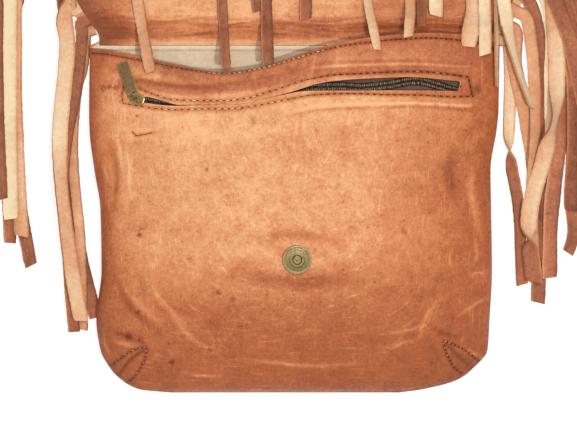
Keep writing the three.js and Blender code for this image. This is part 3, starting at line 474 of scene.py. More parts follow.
def through(points, step):
    """Evenly spaced places on a smooth line through points, with the direction of travel at each."""
    padded = [2 * points[0] - points[1], *points, 2 * points[-1] - points[-2]]
    line = []
    for a, b, c, d in zip(padded, padded[1:], padded[2:], padded[3:]):
        k1, k2, k3 = (max((q - p).length, 1e-6) ** 0.5 for p, q in ((a, b), (b, c), (c, d)))
        t0, t1, t2, t3 = 0, k1, k1 + k2, k1 + k2 + k3
        for i in range(24):
            t = t1 + (t2 - t1) * i / 24
            a1 = a * ((t1 - t) / (t1 - t0)) + b * ((t - t0) / (t1 - t0))
            a2 = b * ((t2 - t) / (t2 - t1)) + c * ((t - t1) / (t2 - t1))
            a3 = c * ((t3 - t) / (t3 - t2)) + d * ((t - t2) / (t3 - t2))
            b1 = a1 * ((t2 - t) / (t2 - t0)) + a2 * ((t - t0) / (t2 - t0))
            b2 = a2 * ((t3 - t) / (t3 - t1)) + a3 * ((t - t1) / (t3 - t1))
            line.append(b1 * ((t2 - t) / (t2 - t1)) + b2 * ((t - t1) / (t2 - t1)))
    line.append(points[-1].copy())
    lengths = [0.0]
    for a, b in zip(line, line[1:]):
        lengths.append(lengths[-1] + (b - a).length)
    count = max(2, math.ceil(lengths[-1] / step))
    places = []
    for i in range(count + 1):
        length = lengths[-1] * i / count
        k = min(max(bisect_right(lengths, length), 1), len(lengths) - 1)
        span = max(lengths[k] - lengths[k - 1], 1e-9)
        places.append(line[k - 1].lerp(line[k], (length - lengths[k - 1]) / span))
    travels = [
        (places[min(i + 1, count)] - places[max(i - 1, 0)]).normalized() for i in range(count + 1)
    ]
    return places, travels


def on_bag(points):
    """Places given as shares of half the bag's width and height."""
    return [Vector((x * HALF_WIDTH, y * FOLD)) for x, y in points]


SEAM_STEP = 0.0003
HOLE_EVERY = 0.0042
HOLE_LONG = 0.00095
HOLE_WIDE = 0.00036
SEAM_REACH = 0.004
RIM_PITCH = 0.0032
DART_PITCH = 0.0026
# Seams, in shares of half the bag's width and height: the first four run round the zip. A dart
# has a seam on each side of its fold.
ZIP_SEAMS = [
    [(-0.754, 0.748), (-0.678, 0.715), (-0.606, 0.688), (-0.514, 0.682), (-0.402, 0.679), (-0.31, 0.682),
     (-0.218, 0.696), (-0.17, 0.715), (-0.078, 0.748), (0.015, 0.786), (0.109, 0.812), (0.194, 0.827),
     (0.325, 0.835), (0.451, 0.843), (0.582, 0.848), (0.708, 0.838), (0.838, 0.817)],
    [(-0.834, 0.666), (-0.754, 0.649), (-0.678, 0.635), (-0.586, 0.627), (-0.446, 0.631), (-0.31, 0.633),
     (-0.218, 0.644), (-0.121, 0.666), (-0.029, 0.688), (0.063, 0.708), (0.153, 0.716), (0.281, 0.719),
     (0.412, 0.714), (0.538, 0.713), (0.625, 0.711), (0.751, 0.703), (0.863, 0.706)],
    [(-0.831, 0.76), (-0.838, 0.71), (-0.834, 0.68)],
    [(0.842, 0.8), (0.858, 0.725)],
]
RIM_SEAM = [
    (-0.985, 0.955), (-0.911, 0.948), (-0.838, 0.932), (-0.737, 0.91), (-0.645, 0.888), (-0.548, 0.864),
    (-0.446, 0.845), (-0.354, 0.836), (-0.252, 0.844), (-0.17, 0.866), (-0.078, 0.893), (0.024, 0.93),
    (0.111, 0.962), (0.194, 0.986), (0.281, 1.004), (0.368, 1.017), (0.436, 1.027), (0.538, 1.035),
    (0.625, 1.041), (0.708, 1.038), (0.795, 1.029), (0.897, 1.011), (0.974, 0.975),
]
DARTS = [
    ([(-0.719, -0.74), (-0.753, -0.74), (-0.797, -0.763), (-0.853, -0.81), (-0.903, -0.853)],
     [(-0.726, -0.75), (-0.78, -0.79), (-0.819, -0.836), (-0.848, -0.889), (-0.875, -0.945)],
     [(-0.719, -0.745), (-0.722, -0.782), (-0.741, -0.842), (-0.775, -0.902), (-0.814, -0.945)]),
    ([(0.717, -0.7), (0.761, -0.719), (0.822, -0.754), (0.894, -0.823)],
     [(0.722, -0.708), (0.77, -0.762), (0.798, -0.795), (0.838, -0.838), (0.885, -0.885)],
     [(0.717, -0.705), (0.721, -0.733), (0.741, -0.791), (0.773, -0.857), (0.808, -0.888)]),
]
OLD_SEAM = [(-0.785, 0.498), (-0.768, 0.479), (-0.737, 0.484), (-0.68, 0.498)]
SEAMS = [(line, HOLE_EVERY) for line in ZIP_SEAMS]
SEAMS += [(RIM_SEAM, RIM_PITCH), (OLD_SEAM, RIM_PITCH)]
SEAMS += [(dart[k], DART_PITCH) for dart in DARTS for k in (0, 2)]
seam_lines = [(*through(on_bag(line), SEAM_STEP), pitch) for line, pitch in SEAMS]


def finder(places):
    """A search for the nearest of some places on a line."""
    tree = KDTree(len(places))
    for i, place in enumerate(places):
        tree.insert((place.x, place.y, 0), i)
    tree.balance()
    return tree


seam_places = [(k, i) for k, (places, _, _) in enumerate(seam_lines) for i in range(len(places))]
seam_finder = finder([seam_lines[k][0][i] for k, i in seam_places])


def seam_near(x, y):
    """The number of stitches along the nearest seam, and the way to it."""
    found = seam_finder.find((x, y, 0))[1]
    k, i = seam_places[found]
    places, travels, pitch = seam_lines[k]
    away = Vector((x, y)) - places[i]
    if away.length > SEAM_REACH:
        return 0.0, Vector((0, 0, 1))
    if 0 < i < len(places) - 1:
        step = away.dot(travels[i])
        return (i * SEAM_STEP + step) / pitch, (away - step * travels[i]).to_3d()
    return i * SEAM_STEP / pitch, away.to_3d()


# Each row is a crease or a ridge: its line, its height (in a crease below 0), and its width.
FOLDS = [
    ([(-0.905, -0.64), (-0.86, -0.652), (-0.8, -0.685), (-0.735, -0.715)], -0.0009, 0.0018),
    ([(-0.885, -0.7), (-0.82, -0.72), (-0.76, -0.735)], 0.0005, 0.0016),
    ([(-0.93, -0.65), (-0.92, -0.71), (-0.9, -0.78)], 0.0004, 0.0016),
    ([(-0.8, -0.43), (-0.72, -0.53), (-0.645, -0.6)], 0.0006, 0.0024),
    ([(-0.86, -0.36), (-0.8, -0.5), (-0.7, -0.62)], -0.0005, 0.003),
    ([(-0.7, -0.38), (-0.62, -0.5), (-0.53, -0.6)], 0.0004, 0.0022),
    ([(-0.6, -0.55), (-0.5, -0.68), (-0.38, -0.77)], 0.0003, 0.002),
    ([(-0.53, -0.885), (-0.44, -0.9), (-0.35, -0.9)], 0.0004, 0.0012),
    ([(-0.25, -0.8), (0.05, -0.84), (0.3, -0.83)], 0.0003, 0.0018),
    ([(0.66, -0.62), (0.74, -0.665), (0.8, -0.68)], -0.0006, 0.002),
    ([(0.78, -0.735), (0.86, -0.77), (0.91, -0.8)], 0.0005, 0.0018),
    ([(0.7, -0.45), (0.63, -0.57), (0.6, -0.68)], 0.0004, 0.003),
    ([(0.76, 0.4), (0.74, 0.25), (0.78, 0.1)], -0.0008, 0.006),
    ([(0.85, 0.3), (0.86, 0.1), (0.9, -0.1)], 0.0006, 0.004),
    ([(0.87, -0.12), (0.88, -0.2), (0.865, -0.26)], 0.0005, 0.0016),
    ([(-0.9, 0.45), (-0.86, 0.25), (-0.88, 0.05)], -0.0006, 0.003),
    ([(-0.82, 0.42), (-0.8, 0.28), (-0.805, 0.16)], 0.0004, 0.0016),
    ([(-0.87, 0.5), (-0.845, 0.38), (-0.84, 0.3)], 0.0004, 0.0014),
    ([(-0.3, -0.3), (0.0, -0.36), (0.3, -0.33)], -0.0008, 0.009),
    ([(-0.16, -0.12), (0.01, -0.09), (0.18, -0.13)], -0.0005, 0.006),
    ([(-0.9, 0.87), (-0.8, 0.82), (-0.6, 0.77), (-0.35, 0.75)], -0.0004, 0.003),
    ([(0.759, -0.166), (0.746, -0.213), (0.749, -0.273)], 0.0003, 0.0011),
    ([(0.938, -0.291), (0.906, -0.311), (0.87, -0.313), (0.843, -0.322)], 0.0004, 0.0013),
    ([(0.948, -0.453), (0.906, -0.466), (0.87, -0.493), (0.834, -0.522), (0.79, -0.556)], 0.0004, 0.0013),
    ([(0.412, -0.662), (0.493, -0.647), (0.586, -0.625), (0.629, -0.604)], 0.0004, 0.0014),
    ([(0.412, -0.731), (0.474, -0.736), (0.524, -0.706), (0.579, -0.706)], 0.0004, 0.0013),
]
folds = []
for line, rise, spread in FOLDS:
    places, _ = through(on_bag(line), 0.0008)
    folds.append((finder(places), len(places) - 1, rise, spread))
dart_seams = [through(on_bag(dart[1]), SEAM_STEP)[0] for dart in DARTS]
dart_finders = [(finder(places), len(places) - 1) for places in dart_seams]
TAPE_WIDTH = 0.024
TAPE_RISE = 0.0008


def faded(share):
    """How strong a crease is along its line: weak at both its ends."""
    return math.sin(math.pi * (0.12 + 0.76 * share))


def front_relief(x, y):
    """The dents, creases, seams and zip edges that show in the front."""
    rise = 0.0011 * noise.noise(Vector((x * 17, y * 21, 3.1)))
    rise += 0.0004 * noise.noise(Vector((x * 55, y * 70, 7.7)))
    rise += 0.00016 * noise.noise(Vector((x * 190, y * 210, 1.7)))
    rise *= min(1, (1 - abs(across_share(x, y))) * 8)
    rise -= 0.0005 * bell(seam_near(x, y)[1].length, 0.0013)
    for finds, last, height, spread in folds:
        _, i, distance = finds.find((x, y, 0))
        if distance < 3 * spread:
            rise += height * bell(distance, spread) * faded(i / last)
    for finds, last in dart_finders:
        _, i, distance = finds.find((x, y, 0))
        if distance < 0.01:
            deep = ramp(0, 0.4, i / last)
            rise += 0.0005 * deep * bell(distance - 0.003, 0.002)
            rise -= (0.0009 + 0.0008 * ramp(0.7, 1, i / last)) * deep * bell(distance, 0.0011)
            rise += 0.0003 * deep * math.sin(i * 0.55) * bell(distance, 0.004)
    off = abs(y - slit_y(x))
    beyond = 1 - ramp(SLIT_END + 0.004, SLIT_END + 0.007, abs(x))
    over_tape = (1 - ramp(TAPE_WIDTH / 2, TAPE_WIDTH / 2 + 0.0015, off)) * beyond
    rise += TAPE_RISE * over_tape * (0.45 + 0.55 * ramp(-0.03, 0.02, x))
    rise += 0.0005 * bell(off - slit_half(x) - 0.0004, 0.0011) * beyond
    rise += 0.0004 * bell(rim_y(x) - y, 0.0017)
    snap = math.hypot(x - SNAP_PLACE[0], y - SNAP_PLACE[1])
    rise -= 0.0005 * bell(snap - 0.0098, 0.0022) * ramp(-1, 1, (y - SNAP_PLACE[1]) / max(snap, 1e-4))
    return rise


def painted_crease_shading(x, y):
    """Painted shade darkens the creases and the darts' seams, darkest at the seams, and painted highlight
    pales the ridges.
    """
    painted_shade_and_highlight = 0
    for finds, last, height, spread in folds:
        _, i, distance = finds.find((x, y, 0))
        if distance < 2 * spread:
            painted_shade_and_highlight -= math.copysign(0.32, height) * bell(distance, 0.55 * spread + 0.0003) * faded(i / last)
    for finds, last in dart_finders:
        _, i, distance = finds.find((x, y, 0))
        if distance < 0.006:
            painted_shade_and_highlight += (0.5 + 0.6 * ramp(0.6, 1, i / last)) * bell(distance, 0.0008)
    return painted_shade_and_highlight


def front_top(x, y):
    return front_height(x, y) + front_relief(x, y)


FRONT_COLUMNS = 190
FRONT_ROWS = 196
SLIT_ROW = 158
SLIT_SPREAD = 0.012
SLIT_ROUND = 0.0003
BLEND_ROWS = 7


def front_place(across, along):
    """Rows of the sheet run level up to the slit's row, which lies along the slit, and on to the rim."""
    u = math.sin(across * math.pi / 2)
    x = u * HALF_WIDTH
    share = along * FRONT_ROWS / SLIT_ROW
    for _ in range(3):
        if share <= 1:
            closer = share - 0.055 * math.sin(2 * math.pi * share)
            y = -FOLD + (slit_y(x) + FOLD) * closer
        else:
            above = (along * FRONT_ROWS - SLIT_ROW) / (FRONT_ROWS - SLIT_ROW)
            y = slit_y(x) + (rim_y(x) - slit_y(x)) * above
        left, right = sides(up_bag(y))
        x = (left + right) / 2 + u * (right - left) / 2
    return Vector((x, y, 0))


bm, (shade, tone, inwards, around, seam_along) = grid_of(
    FRONT_COLUMNS, FRONT_ROWS, front_place, "shade", "tone", "inwards", "around", "seam_along")
seam_away = bm.verts.layers.float_vector.new("seam_away")
bm.verts.ensure_lookup_table()
WIDE = FRONT_COLUMNS + 1
slit = bm.verts[SLIT_ROW * WIDE:(SLIT_ROW + 1) * WIDE]
first = min(range(WIDE), key=lambda i: abs(slit[i].co.x + SLIT_END))
last = min(range(WIDE), key=lambda i: abs(slit[i].co.x - SLIT_END))
# The columns at the slit's ends are moved onto them, with the rows near them.
for column, step, place in (
    (first, 0, -SLIT_END), (first, 1, -SLIT_END + SLIT_ROUND),
    (last, 0, SLIT_END), (last, -1, SLIT_END - SLIT_ROUND),
):
    shift = place - slit[column + step].co.x
    for row in range(1 - BLEND_ROWS, BLEND_ROWS):
        vert = bm.verts[(SLIT_ROW + row) * WIDE + column + step]
        vert.co.x += shift * (1 - abs(row) / BLEND_ROWS)
slit_edges = [e for e in bm.edges if all(
    v.index // WIDE == SLIT_ROW and first <= v.index % WIDE <= last for v in e.verts)]
bmesh.ops.split_edges(bm, edges=slit_edges)
# The slit opens, and the leather on both its sides gives way.
for vert in bm.verts:
    x, y = vert.co.x, vert.co.y
    off = y - slit_y(x)
    if abs(off) < SLIT_SPREAD and abs(x) < SLIT_END:
        if abs(off) < 1e-6:
            above = sum(f.calc_center_median().y for f in vert.link_faces) / len(vert.link_faces) > y
        else:
            above = off > 0
        half = slit_half(x)
        moved = half + abs(off) * (1 - half / SLIT_SPREAD)
        vert.co.y = slit_y(x) + (moved if above else -moved)
for vert in bm.verts:
    x, y = vert.co.x, vert.co.y
    vert.co.z = front_top(x, y)
    up = up_bag(y)
    left, right = sides(up)
    from_left, from_right, below_rim = max(0, x - left), max(0, right - x), rim_y(x) - y
    # The leather is darker towards the bottom and the sides, and pale in the middle.
    darkening = 0.85 * (1 - ramp(0, 0.46, up)) + 0.2
    darkening += 0.3 * math.exp(-from_left / 0.009) * bell(y + 0.03, 0.05)
    darkening += 0.85 * math.exp(-from_left / 0.005) + 0.04 * math.exp(-from_left / 0.03)
    darkening += 0.5 * math.exp(-from_right / 0.006) + 0.45 * bell(from_right, 0.06)
    # Above the slit the leather is darker in a band, and below it paler.
    # A thin pale line on the ridge over each tape edge is painted highlight, and a dark line just outside it
    # is painted shade at the ridge's foot.
    off = y - slit_y(x)
    if abs(x) < SLIT_END + 0.006:
        darkening += 0.3 * ramp(0.005, 0.008, off) * (1 - ramp(0.011, 0.014, off))
        darkening -= 0.1 * ramp(0.005, 0.007, -off) * (1 - ramp(0.02, 0.03, -off))
        darkening -= 0.4 * bell(abs(off) - TAPE_WIDTH / 2 - 0.0004, 0.0009) * ramp(-0.02, 0.03, x)
    darkening += 0.25 * bell(abs(off) - TAPE_WIDTH / 2 - 0.0024, 0.0012) * ramp(-0.02, 0.03, x)
    # The rim is stained where hands open the bag.
    darkening += 0.14 * ramp(-0.09, -0.075, x) * (1 - ramp(-0.02, 0.01, x)) * bell(below_rim - 0.006, 0.0035)
    darkening += 0.3 * bell(below_rim - 0.009, 0.005) * bell(x + 0.005, 0.02)
    darkening += 0.16 * noise.noise(Vector((x * 26, y * 110, 8.8))) * (1 - ramp(0.03, 0.05, below_rim))
    darkening += (0.4 + 0.2 * noise.noise(Vector((x * 40, y * 40, 5)))) * math.exp(-max(0, below_rim) / 0.008)
    # The creases' painted shade and the ridges' painted highlight are added here.
    darkening = min(darkening, 0.64 + 0.24 * (darkening - 0.64)) + painted_crease_shading(x, y)
    vert[shade] = darkening
    # The leather's fine streaks follow the panel's edge.
    gaps = [max(0.002, gap) ** -3 for gap in (x - left + 0.002, right - x + 0.002, y + FOLD + 0.002)]
    vert[inwards] = sum(gaps) ** (-1 / 3) * 650
    vert[around] = math.atan2(y - 0.02, x) * 0.11 * 55
    vert[tone] = 0.1 if abs(off) < 0.006 else 0.9
    vert[seam_along], vert[seam_away] = seam_near(x, y)

# Each row is a stain: its place, its size, and how deep it is.
MARK_RAGGED = 0.0016
MARKS = [
    (-0.928, 0.754, 0.0022, 0.6), (-0.9, 0.76, 0.0018, 0.6), (-0.867, 0.754, 0.0021, 0.5),
    (-0.761, 0.593, 0.0013, 0.8), (-0.204, 0.567, 0.0028, 0.3), (-0.761, -0.535, 0.0015, 0.7),
    (-0.804, -0.673, 0.0025, 0.8), (-0.746, -0.696, 0.0022, 0.6), (-0.596, -0.823, 0.0019, 0.9),
    (-0.608, -0.708, 0.0013, 0.6), (-0.407, -0.748, 0.0016, 0.6), (0.882, 0.742, 0.0032, 0.5),
    (0.683, 0.65, 0.0019, 0.35), (0.751, 0.644, 0.0019, 0.35), (-0.63, 0.852, 0.0044, 0.3),
    (-0.509, -0.224, 0.0019, 0.45), (-0.366, -0.417, 0.0019, 0.65), (-0.3, -0.46, 0.0022, 0.35),
    (-0.712, -0.374, 0.0022, 0.4), (-0.727, -0.414, 0.0016, 0.4), (-0.426, 0.285, 0.0014, 0.5),
    (-0.751, -0.092, 0.0016, 0.7), (-0.751, -0.058, 0.0019, 0.35), (-0.199, -0.581, 0.0016, 0.35),
    (-0.267, -0.61, 0.0016, 0.35), (0.519, -0.069, 0.0016, 0.35),
]
front_leather = leather("front_leather", TAN, seams=True, marks=MARKS)
cut_edge = suede("cut_edge", rgb(226, 176, 122), rgb(176, 126, 78), rgb(112, 78, 46))
front = finished("front", bm, [front_leather, flesh_side, cut_edge], "front_panel")
thicken(front, HIDE, rim=2)

# The front's seams are sewn with waxed thread, now dark in some places and pale in others.
# Each stitch is a short bulge of thread that goes into the leather at both its ends.
THREAD = 0.0005
STITCH_SHARE = 0.72
THREAD_RISE = 0.15
thread, tree, shader = new_material("waxed_thread", 0.55, specular=0.4)
colour = put(tree, "ValToRGB", Fac=painted(tree, "tone"))
stops = colour.color_ramp.elements
stops[0].color, stops[1].color = rgb(84, 42, 28), rgb(250, 226, 190)
stops.new(0.55).color = rgb(186, 122, 84)
tree.links.new(colour.outputs["Color"], shader.inputs["Base Color"])
ply = put(tree, "TexWave", {"bands_direction": "DIAGONAL"}, Vector=own_place(tree), Scale=900, Distortion=1)
roughened(tree, shader, ply.outputs["Fac"], 0.4, 0.0001)

bm = bmesh.new()
bm.verts.layers.float.new("tone")
bmesh.ops.create_uvsphere(bm, u_segments=8, v_segments=4, radius=1)
pip = bpy.data.meshes.new("pip")
bm.to_mesh(pip)
bm.free()


def grain(bm, start, end, thick, value):
    """A short rounded piece, such as a stitch, from one place to another."""
    along = end - start
    turn = along.to_track_quat("X", "Z").to_matrix().to_4x4()
    sized = Matrix.Diagonal((along.length / 2, thick / 2, thick / 2, 1))
    shaped = pip.copy()
    shaped.transform(Matrix.Translation((start + end) / 2) @ turn @ sized)
    shaped.attributes["tone"].data.foreach_set("value", [value] * len(shaped.vertices))
    bm.from_mesh(shaped)
    bpy.data.meshes.remove(shaped)


def sew(name, seams, top, thick=THREAD):
    """Stitches along each seam: its line, their spacing, and how pale the thread is from end to end."""
    bm = bmesh.new()
    bm.verts.layers.float.new("tone")
    for number, (places, pitch, pale) in enumerate(seams):
        pale_at = smooth_curve(pale)
        length = (len(places) - 1) * SEAM_STEP
        for k in range(int(length / pitch)):
            middle = (k + 0.5) * pitch
            a, b = (places[round((middle + end * pitch * STITCH_SHARE / 2) / SEAM_STEP)] for end in (-1, 1))
            start, end = (Vector((p.x, p.y, top(p.x, p.y) + thick * THREAD_RISE)) for p in (a, b))
            chance = noise.noise(Vector((k * 0.7, number * 5.1, 0.3)))
            grain(bm, start, end, thick * (1 + 0.25 * chance), pale_at(middle / length) + 0.5 * chance)
    return finished(name, bm, [thread])


RIM_PALE = [(0, 0.1), (0.22, 0.15), (0.32, 0.75), (0.62, 0.6), (0.75, 0.25), (1, 0.15)]
UPPER_PALE = [(0, 0.4), (0.2, 0.95), (0.45, 0.6), (0.6, 0.3), (1, 0.35)]
LOWER_PALE = [(0, 0.2), (0.1, 0.8), (0.4, 1), (0.55, 0.4), (1, 0.35)]
END_PALE = [(0, 0.1), (1, 0.1)]
DART_PALE = [(0, 0.65), (1, 0.3)]
SEAM_PALES = [UPPER_PALE, LOWER_PALE, END_PALE, END_PALE, RIM_PALE, END_PALE] + [DART_PALE] * 4
sewn = [(line[0], line[2], pale) for line, pale in zip(seam_lines, SEAM_PALES)]
sew("pocket_stitches", sewn[:4], front_top)
sew("rim_stitches", sewn[4:6], front_top)
sew("dart_stitches", sewn[6:], front_top)

# The zip's tape is woven, brown, and sewn behind the slit. It keeps its depth below the leather.
# The closed coil lies on it: two rows of nylon loops, sewn down, that meet over a cord.
COIL_DEPTH = HIDE + 0.0009
COIL_THICK = 0.0015
COIL_HALF = 0.003
TAPE_THICK = 0.0007
TAPE_DEPTH = COIL_DEPTH + COIL_THICK + GAP
TAPE_END = SLIT_END + 0.005
TOOTH_EVERY = 0.00115
LOOP_THICK = 0.0006
LOOP_ENDS = (0.00055, 0.0024)
LOOP_SLANT = 0.0022
LOOP_DEPTHS = (0.0005, 0.00065)
CORD_DEPTH = 0.0004
CORD_THICK = 0.0009
CORD_EVERY = 0.003
CHAIN = [
    (-0.785, 0.693), (-0.567, 0.656), (-0.31, 0.666), (-0.058, 0.714), (0.092, 0.757), (0.223, 0.761),
    (0.305, 0.754), (0.446, 0.769), (0.582, 0.796), (0.692, 0.768), (0.751, 0.745), (0.829, 0.725),
]
chain_share = smooth_curve(CHAIN)


def chain_place(across, beside, depth):
    x = across * HALF_WIDTH
    y = FOLD * chain_share(across) + beside
    return Vector((x, y, front_height(x, y) - depth))


def woven(name, colour, dark, threads):
    """Plain weave: two crossed sets of threads, uneven in thickness and colour.
    The point attribute shade darkens it with painted shade in its folds and seams."""
    material, tree, shader = new_material(name, 0.92, specular=0.15)
    shader.inputs["Sheen Weight"].default_value = 0.15
    place = own_place(tree)
    sets = [
        put(tree, "TexWave", {"bands_direction": axis}, Vector=place, Scale=threads, Distortion=1.2,
            Detail=2).outputs["Fac"]
        for axis in "XY"
    ]
    weave = maths(tree, "MULTIPLY", *sets)
    tone = maths(tree, "MULTIPLY_ADD", weave, -0.25, painted(tree, "shade"))
    for scale, share in ((70, 0.35), (300, 0.5), (900, 0.5)):
        tone = uneven(tree, tone, cloud(tree, place, scale, 3), share)
    shown = put(tree, "MixRGB", Fac=maths(tree, "ADD", tone, 0.3), Color1=colour, Color2=dark)
    shown.use_clamp = True
    tree.links.new(shown.outputs["Color"], shader.inputs["Base Color"])
    roughened(tree, shader, weave, 0.6, 0.0002)
    return material


def tape_place(across, along):
    x = across * TAPE_END
    y = slit_y(x) + (along - 0.5) * TAPE_WIDTH
    ribs = 0.00008 * math.sin(along * math.pi * 24)
    return Vector((x, y, front_height(x, y) - TAPE_DEPTH + ribs))


tape_cloth = woven("zip_tape_weave", rgb(128, 100, 88), rgb(58, 42, 34), 500)
bm, _ = grid_of(150, 48, tape_place, "shade")
tape = finished("zip_tape_cloth", bm, [tape_cloth], "zip_tape")
thicken(tape, TAPE_THICK, inner=0, rim=0)

nylon, tree, shader = new_material("coil_nylon", 0.6, specular=0.2)
tone = uneven(tree, painted(tree, "tone"), cloud(tree, own_place(tree), 700, 3), 0.6)
shown = put(tree, "MixRGB", Fac=tone, Color1=rgb(44, 26, 18), Color2=rgb(232, 200, 168))
tree.links.new(shown.outputs["Color"], shader.inputs["Base Color"])


def coil_place(across, along):
    share = (CHAIN[0][0] + CHAIN[-1][0]) / 2 + across * (CHAIN[-1][0] - CHAIN[0][0]) / 2
    beside = (along - 0.5) * 2 * COIL_HALF
    round_off = 0.0005 * abs(along * 2 - 1) ** 3
    return chain_place(share, beside, COIL_DEPTH + LOOP_THICK + round_off)


bm, (tone,) = grid_of(200, 8, coil_place, "tone")
bmesh.ops.solidify(bm, geom=bm.faces, thickness=COIL_THICK - LOOP_THICK)
for vert in bm.verts:
    vert[tone] = 0.05
chain_length = (CHAIN[-1][0] - CHAIN[0][0]) * HALF_WIDTH
for k in range(int(chain_length / TOOTH_EVERY)):
    across = CHAIN[0][0] + (k + 0.5) * TOOTH_EVERY / HALF_WIDTH
    for hand in (-1, 1):
        shift = (hand - 1) * TOOTH_EVERY / 4 / HALF_WIDTH
        start = chain_place(across + shift, hand * LOOP_ENDS[0], COIL_DEPTH + LOOP_DEPTHS[0])
        end = chain_place(across + shift + LOOP_SLANT, hand * LOOP_ENDS[1], COIL_DEPTH + LOOP_DEPTHS[1])
        grain(bm, start, end, LOOP_THICK, 0.42 + 0.6 * noise.noise(Vector((k * 0.9, hand, 0))))
for k in range(int(chain_length / CORD_EVERY)):
    ends = [CHAIN[0][0] + (k + part) * CORD_EVERY / HALF_WIDTH for part in (-0.15, 1.15)]
    ends = [min(CHAIN[-1][0], max(CHAIN[0][0], at)) for at in ends]
    start, end = (chain_place(at, 0, COIL_DEPTH + CORD_DEPTH) for at in ends)
    grain(bm, start, end, CORD_THICK, 0.02)
finished("zip_chain", bm, [nylon], "zip_coil")

# The slider and its puller are cast brass gone brown and green with age. The slider stands on
# the leather at the zip's left end, and the puller hangs on its bail by an eye.
# Sizes are in mm and turns in degrees; the stem's are its length, width and height.
BAIL_ACROSS = -0.775
SLIDER_LENGTH = 9.5
SLIDER_WIDTH = 8
SLIDER_THICK = 1.7
SLIDER_BACK = 2.4
SLIDER_TURN = 155
STEM = (4, 2, 2.8)
BAIL_RISE = 1.1
BAIL_RADIUS = 2
BAIL_WIRE = 0.42
BAIL_SUNK = 0.4
TAB_LENGTH = 24.5
TAB_WIDTH = 7.4
TAB_THICK = 1
TAB_BAR = 0.55
TAB_HOLE = (3.3, 2.4)
TAB_TURN = 110
TAB_REST = 4


def old_brass(name, clean, brown, green, roughness, aged):
    """Brass with a brown and green patina: aged is the share that it covers."""
    material, tree, shader = new_material(name, roughness, metallic=0.85)
    place = own_place(tree)
    grime, spots = cloud(tree, place, 500, 5, 0.7), cloud(tree, place, 1300, 3)
    darkening = eased(tree, maths(tree, "MULTIPLY_ADD", spots, 0.4, grime), 0.85 - 0.4 * aged, 1.1 - 0.4 * aged)
    browned = put(tree, "MixRGB", Fac=darkening, Color1=clean, Color2=brown).outputs["Color"]
    bloom = maths(tree, "MULTIPLY", eased(tree, cloud(tree, place, 260, 4), 0.5, 0.66), 0.75 * aged)
    greened = put(tree, "MixRGB", Fac=bloom, Color1=browned, Color2=green).outputs["Color"]
    tree.links.new(greened, shader.inputs["Base Color"])
    gloss_from(tree, shader, put(tree, "MapRange", Value=darkening), roughness - 0.1, roughness + 0.15)
    scratches = put(
        tree, "Mapping", Vector=place, Scale=(300, 2600, 1000), Rotation=(0, 0, 0.6)).outputs["Vector"]
    height = maths(tree, "MULTIPLY_ADD", cloud(tree, scratches, 1, 2), 0.6, grime)
    roughened(tree, shader, height, 0.35, 0.00008)
    return material


zip_brass = old_brass("zip_brass", rgb(170, 136, 96), rgb(136, 104, 72), rgb(128, 114, 70), 0.42, 0.6)
edge_brass = old_brass("worn_brass", rgb(206, 188, 112), rgb(150, 130, 78), rgb(134, 154, 82), 0.36, 0.45)
bail_x = BAIL_ACROSS * HALF_WIDTH
bail_y = slit_y(bail_x) + 0.001
half_step = SLIDER_LENGTH / 2000
rise_x, rise_y = (
    front_height(bail_x + dx, bail_y + dy) - front_height(bail_x - dx, bail_y - dy)
    for dx, dy in ((half_step, 0), (0, half_step))
)
out_of_leather = Vector((-rise_x, -rise_y, 2 * half_step)).normalized()
seat = Vector((bail_x, bail_y, front_height(bail_x, bail_y)))
seat += out_of_leather * (GAP + (SLIDER_THICK + BAIL_RISE) / 1000)
zip_frame = (
    Matrix.Translation(seat)
    @ Vector((0, 0, 1)).rotation_difference(out_of_leather).to_matrix().to_4x4()
    @ Matrix.Scale(0.001, 4)
)


def bevelled(bm, edges, width, segments=2):
    return bmesh.ops.bevel(
        bm, geom=list(edges), offset=width, segments=segments, profile=0.5, affect="EDGES", material=-1
    )["faces"]


def rounded_block(bm, length, width, under, top, round_corner, soft):
    """A block with rounded upright corners and softened edges, its faces shared with nothing."""
    part = bmesh.new()
    bmesh.ops.create_cube(part, size=1)
    sized = Matrix.Diagonal((length, width, top - under, 1))
    bmesh.ops.transform(
        part, verts=part.verts, matrix=Matrix.Translation((0, 0, (under + top) / 2)) @ sized)
    upright = [e for e in part.edges if abs(e.verts[0].co.z - e.verts[1].co.z) > 0.1]
    bevelled(part, upright, round_corner, 6)
    sharp = [e for e in part.edges if e.calc_face_angle(0) > 1]
    level = [e for e in sharp if len({round(v.co.z, 4) for v in e.verts}) == 1]
    for face in bevelled(part, level, soft):
        face.material_index = 1
    mesh = bpy.data.meshes.new("block")
    part.to_mesh(mesh)
    part.free()
    known = set(bm.verts)
    bm.from_mesh(mesh)
    bpy.data.meshes.remove(mesh)
    return [v for v in bm.verts if v not in known]


bm = bmesh.new()
plate_top = -BAIL_RISE
plate_under = plate_top - SLIDER_THICK
body = rounded_block(bm, SLIDER_LENGTH, SLIDER_WIDTH, plate_under, plate_top, 2.6, 0.4)
for vert in body:
    nose = ramp(0, SLIDER_LENGTH / 2, -vert.co.x)
    vert.co.y *= 1 - 0.22 * nose
    if vert.co.z > plate_top - 0.2:
        vert.co.z += 0.25 * bell(vert.co.y, 2.2)
rounded_block(bm, STEM[0], STEM[1], plate_under - STEM[2], plate_under + 0.3, 0.6, 0.15)
bmesh.ops.translate(bm, verts=bm.verts, vec=(-SLIDER_BACK, 0, 0))
wire = bmesh.ops.create_circle(
    bm, segments=10, radius=BAIL_WIRE, matrix=Matrix.Translation((BAIL_RADIUS, 0, 0)))
bmesh.ops.scale(
    bm, verts=wire["verts"], vec=(1, 1.2, 1), space=Matrix.Translation((-BAIL_RADIUS, 0, 0)))
ring = list({e for v in wire["verts"] for e in v.link_edges})
spun = bmesh.ops.spin(
    bm, geom=wire["verts"] + ring, cent=(0, 0, 0), axis=(0, -1, 0), angle=math.pi, steps=14,
    use_duplicate=False)
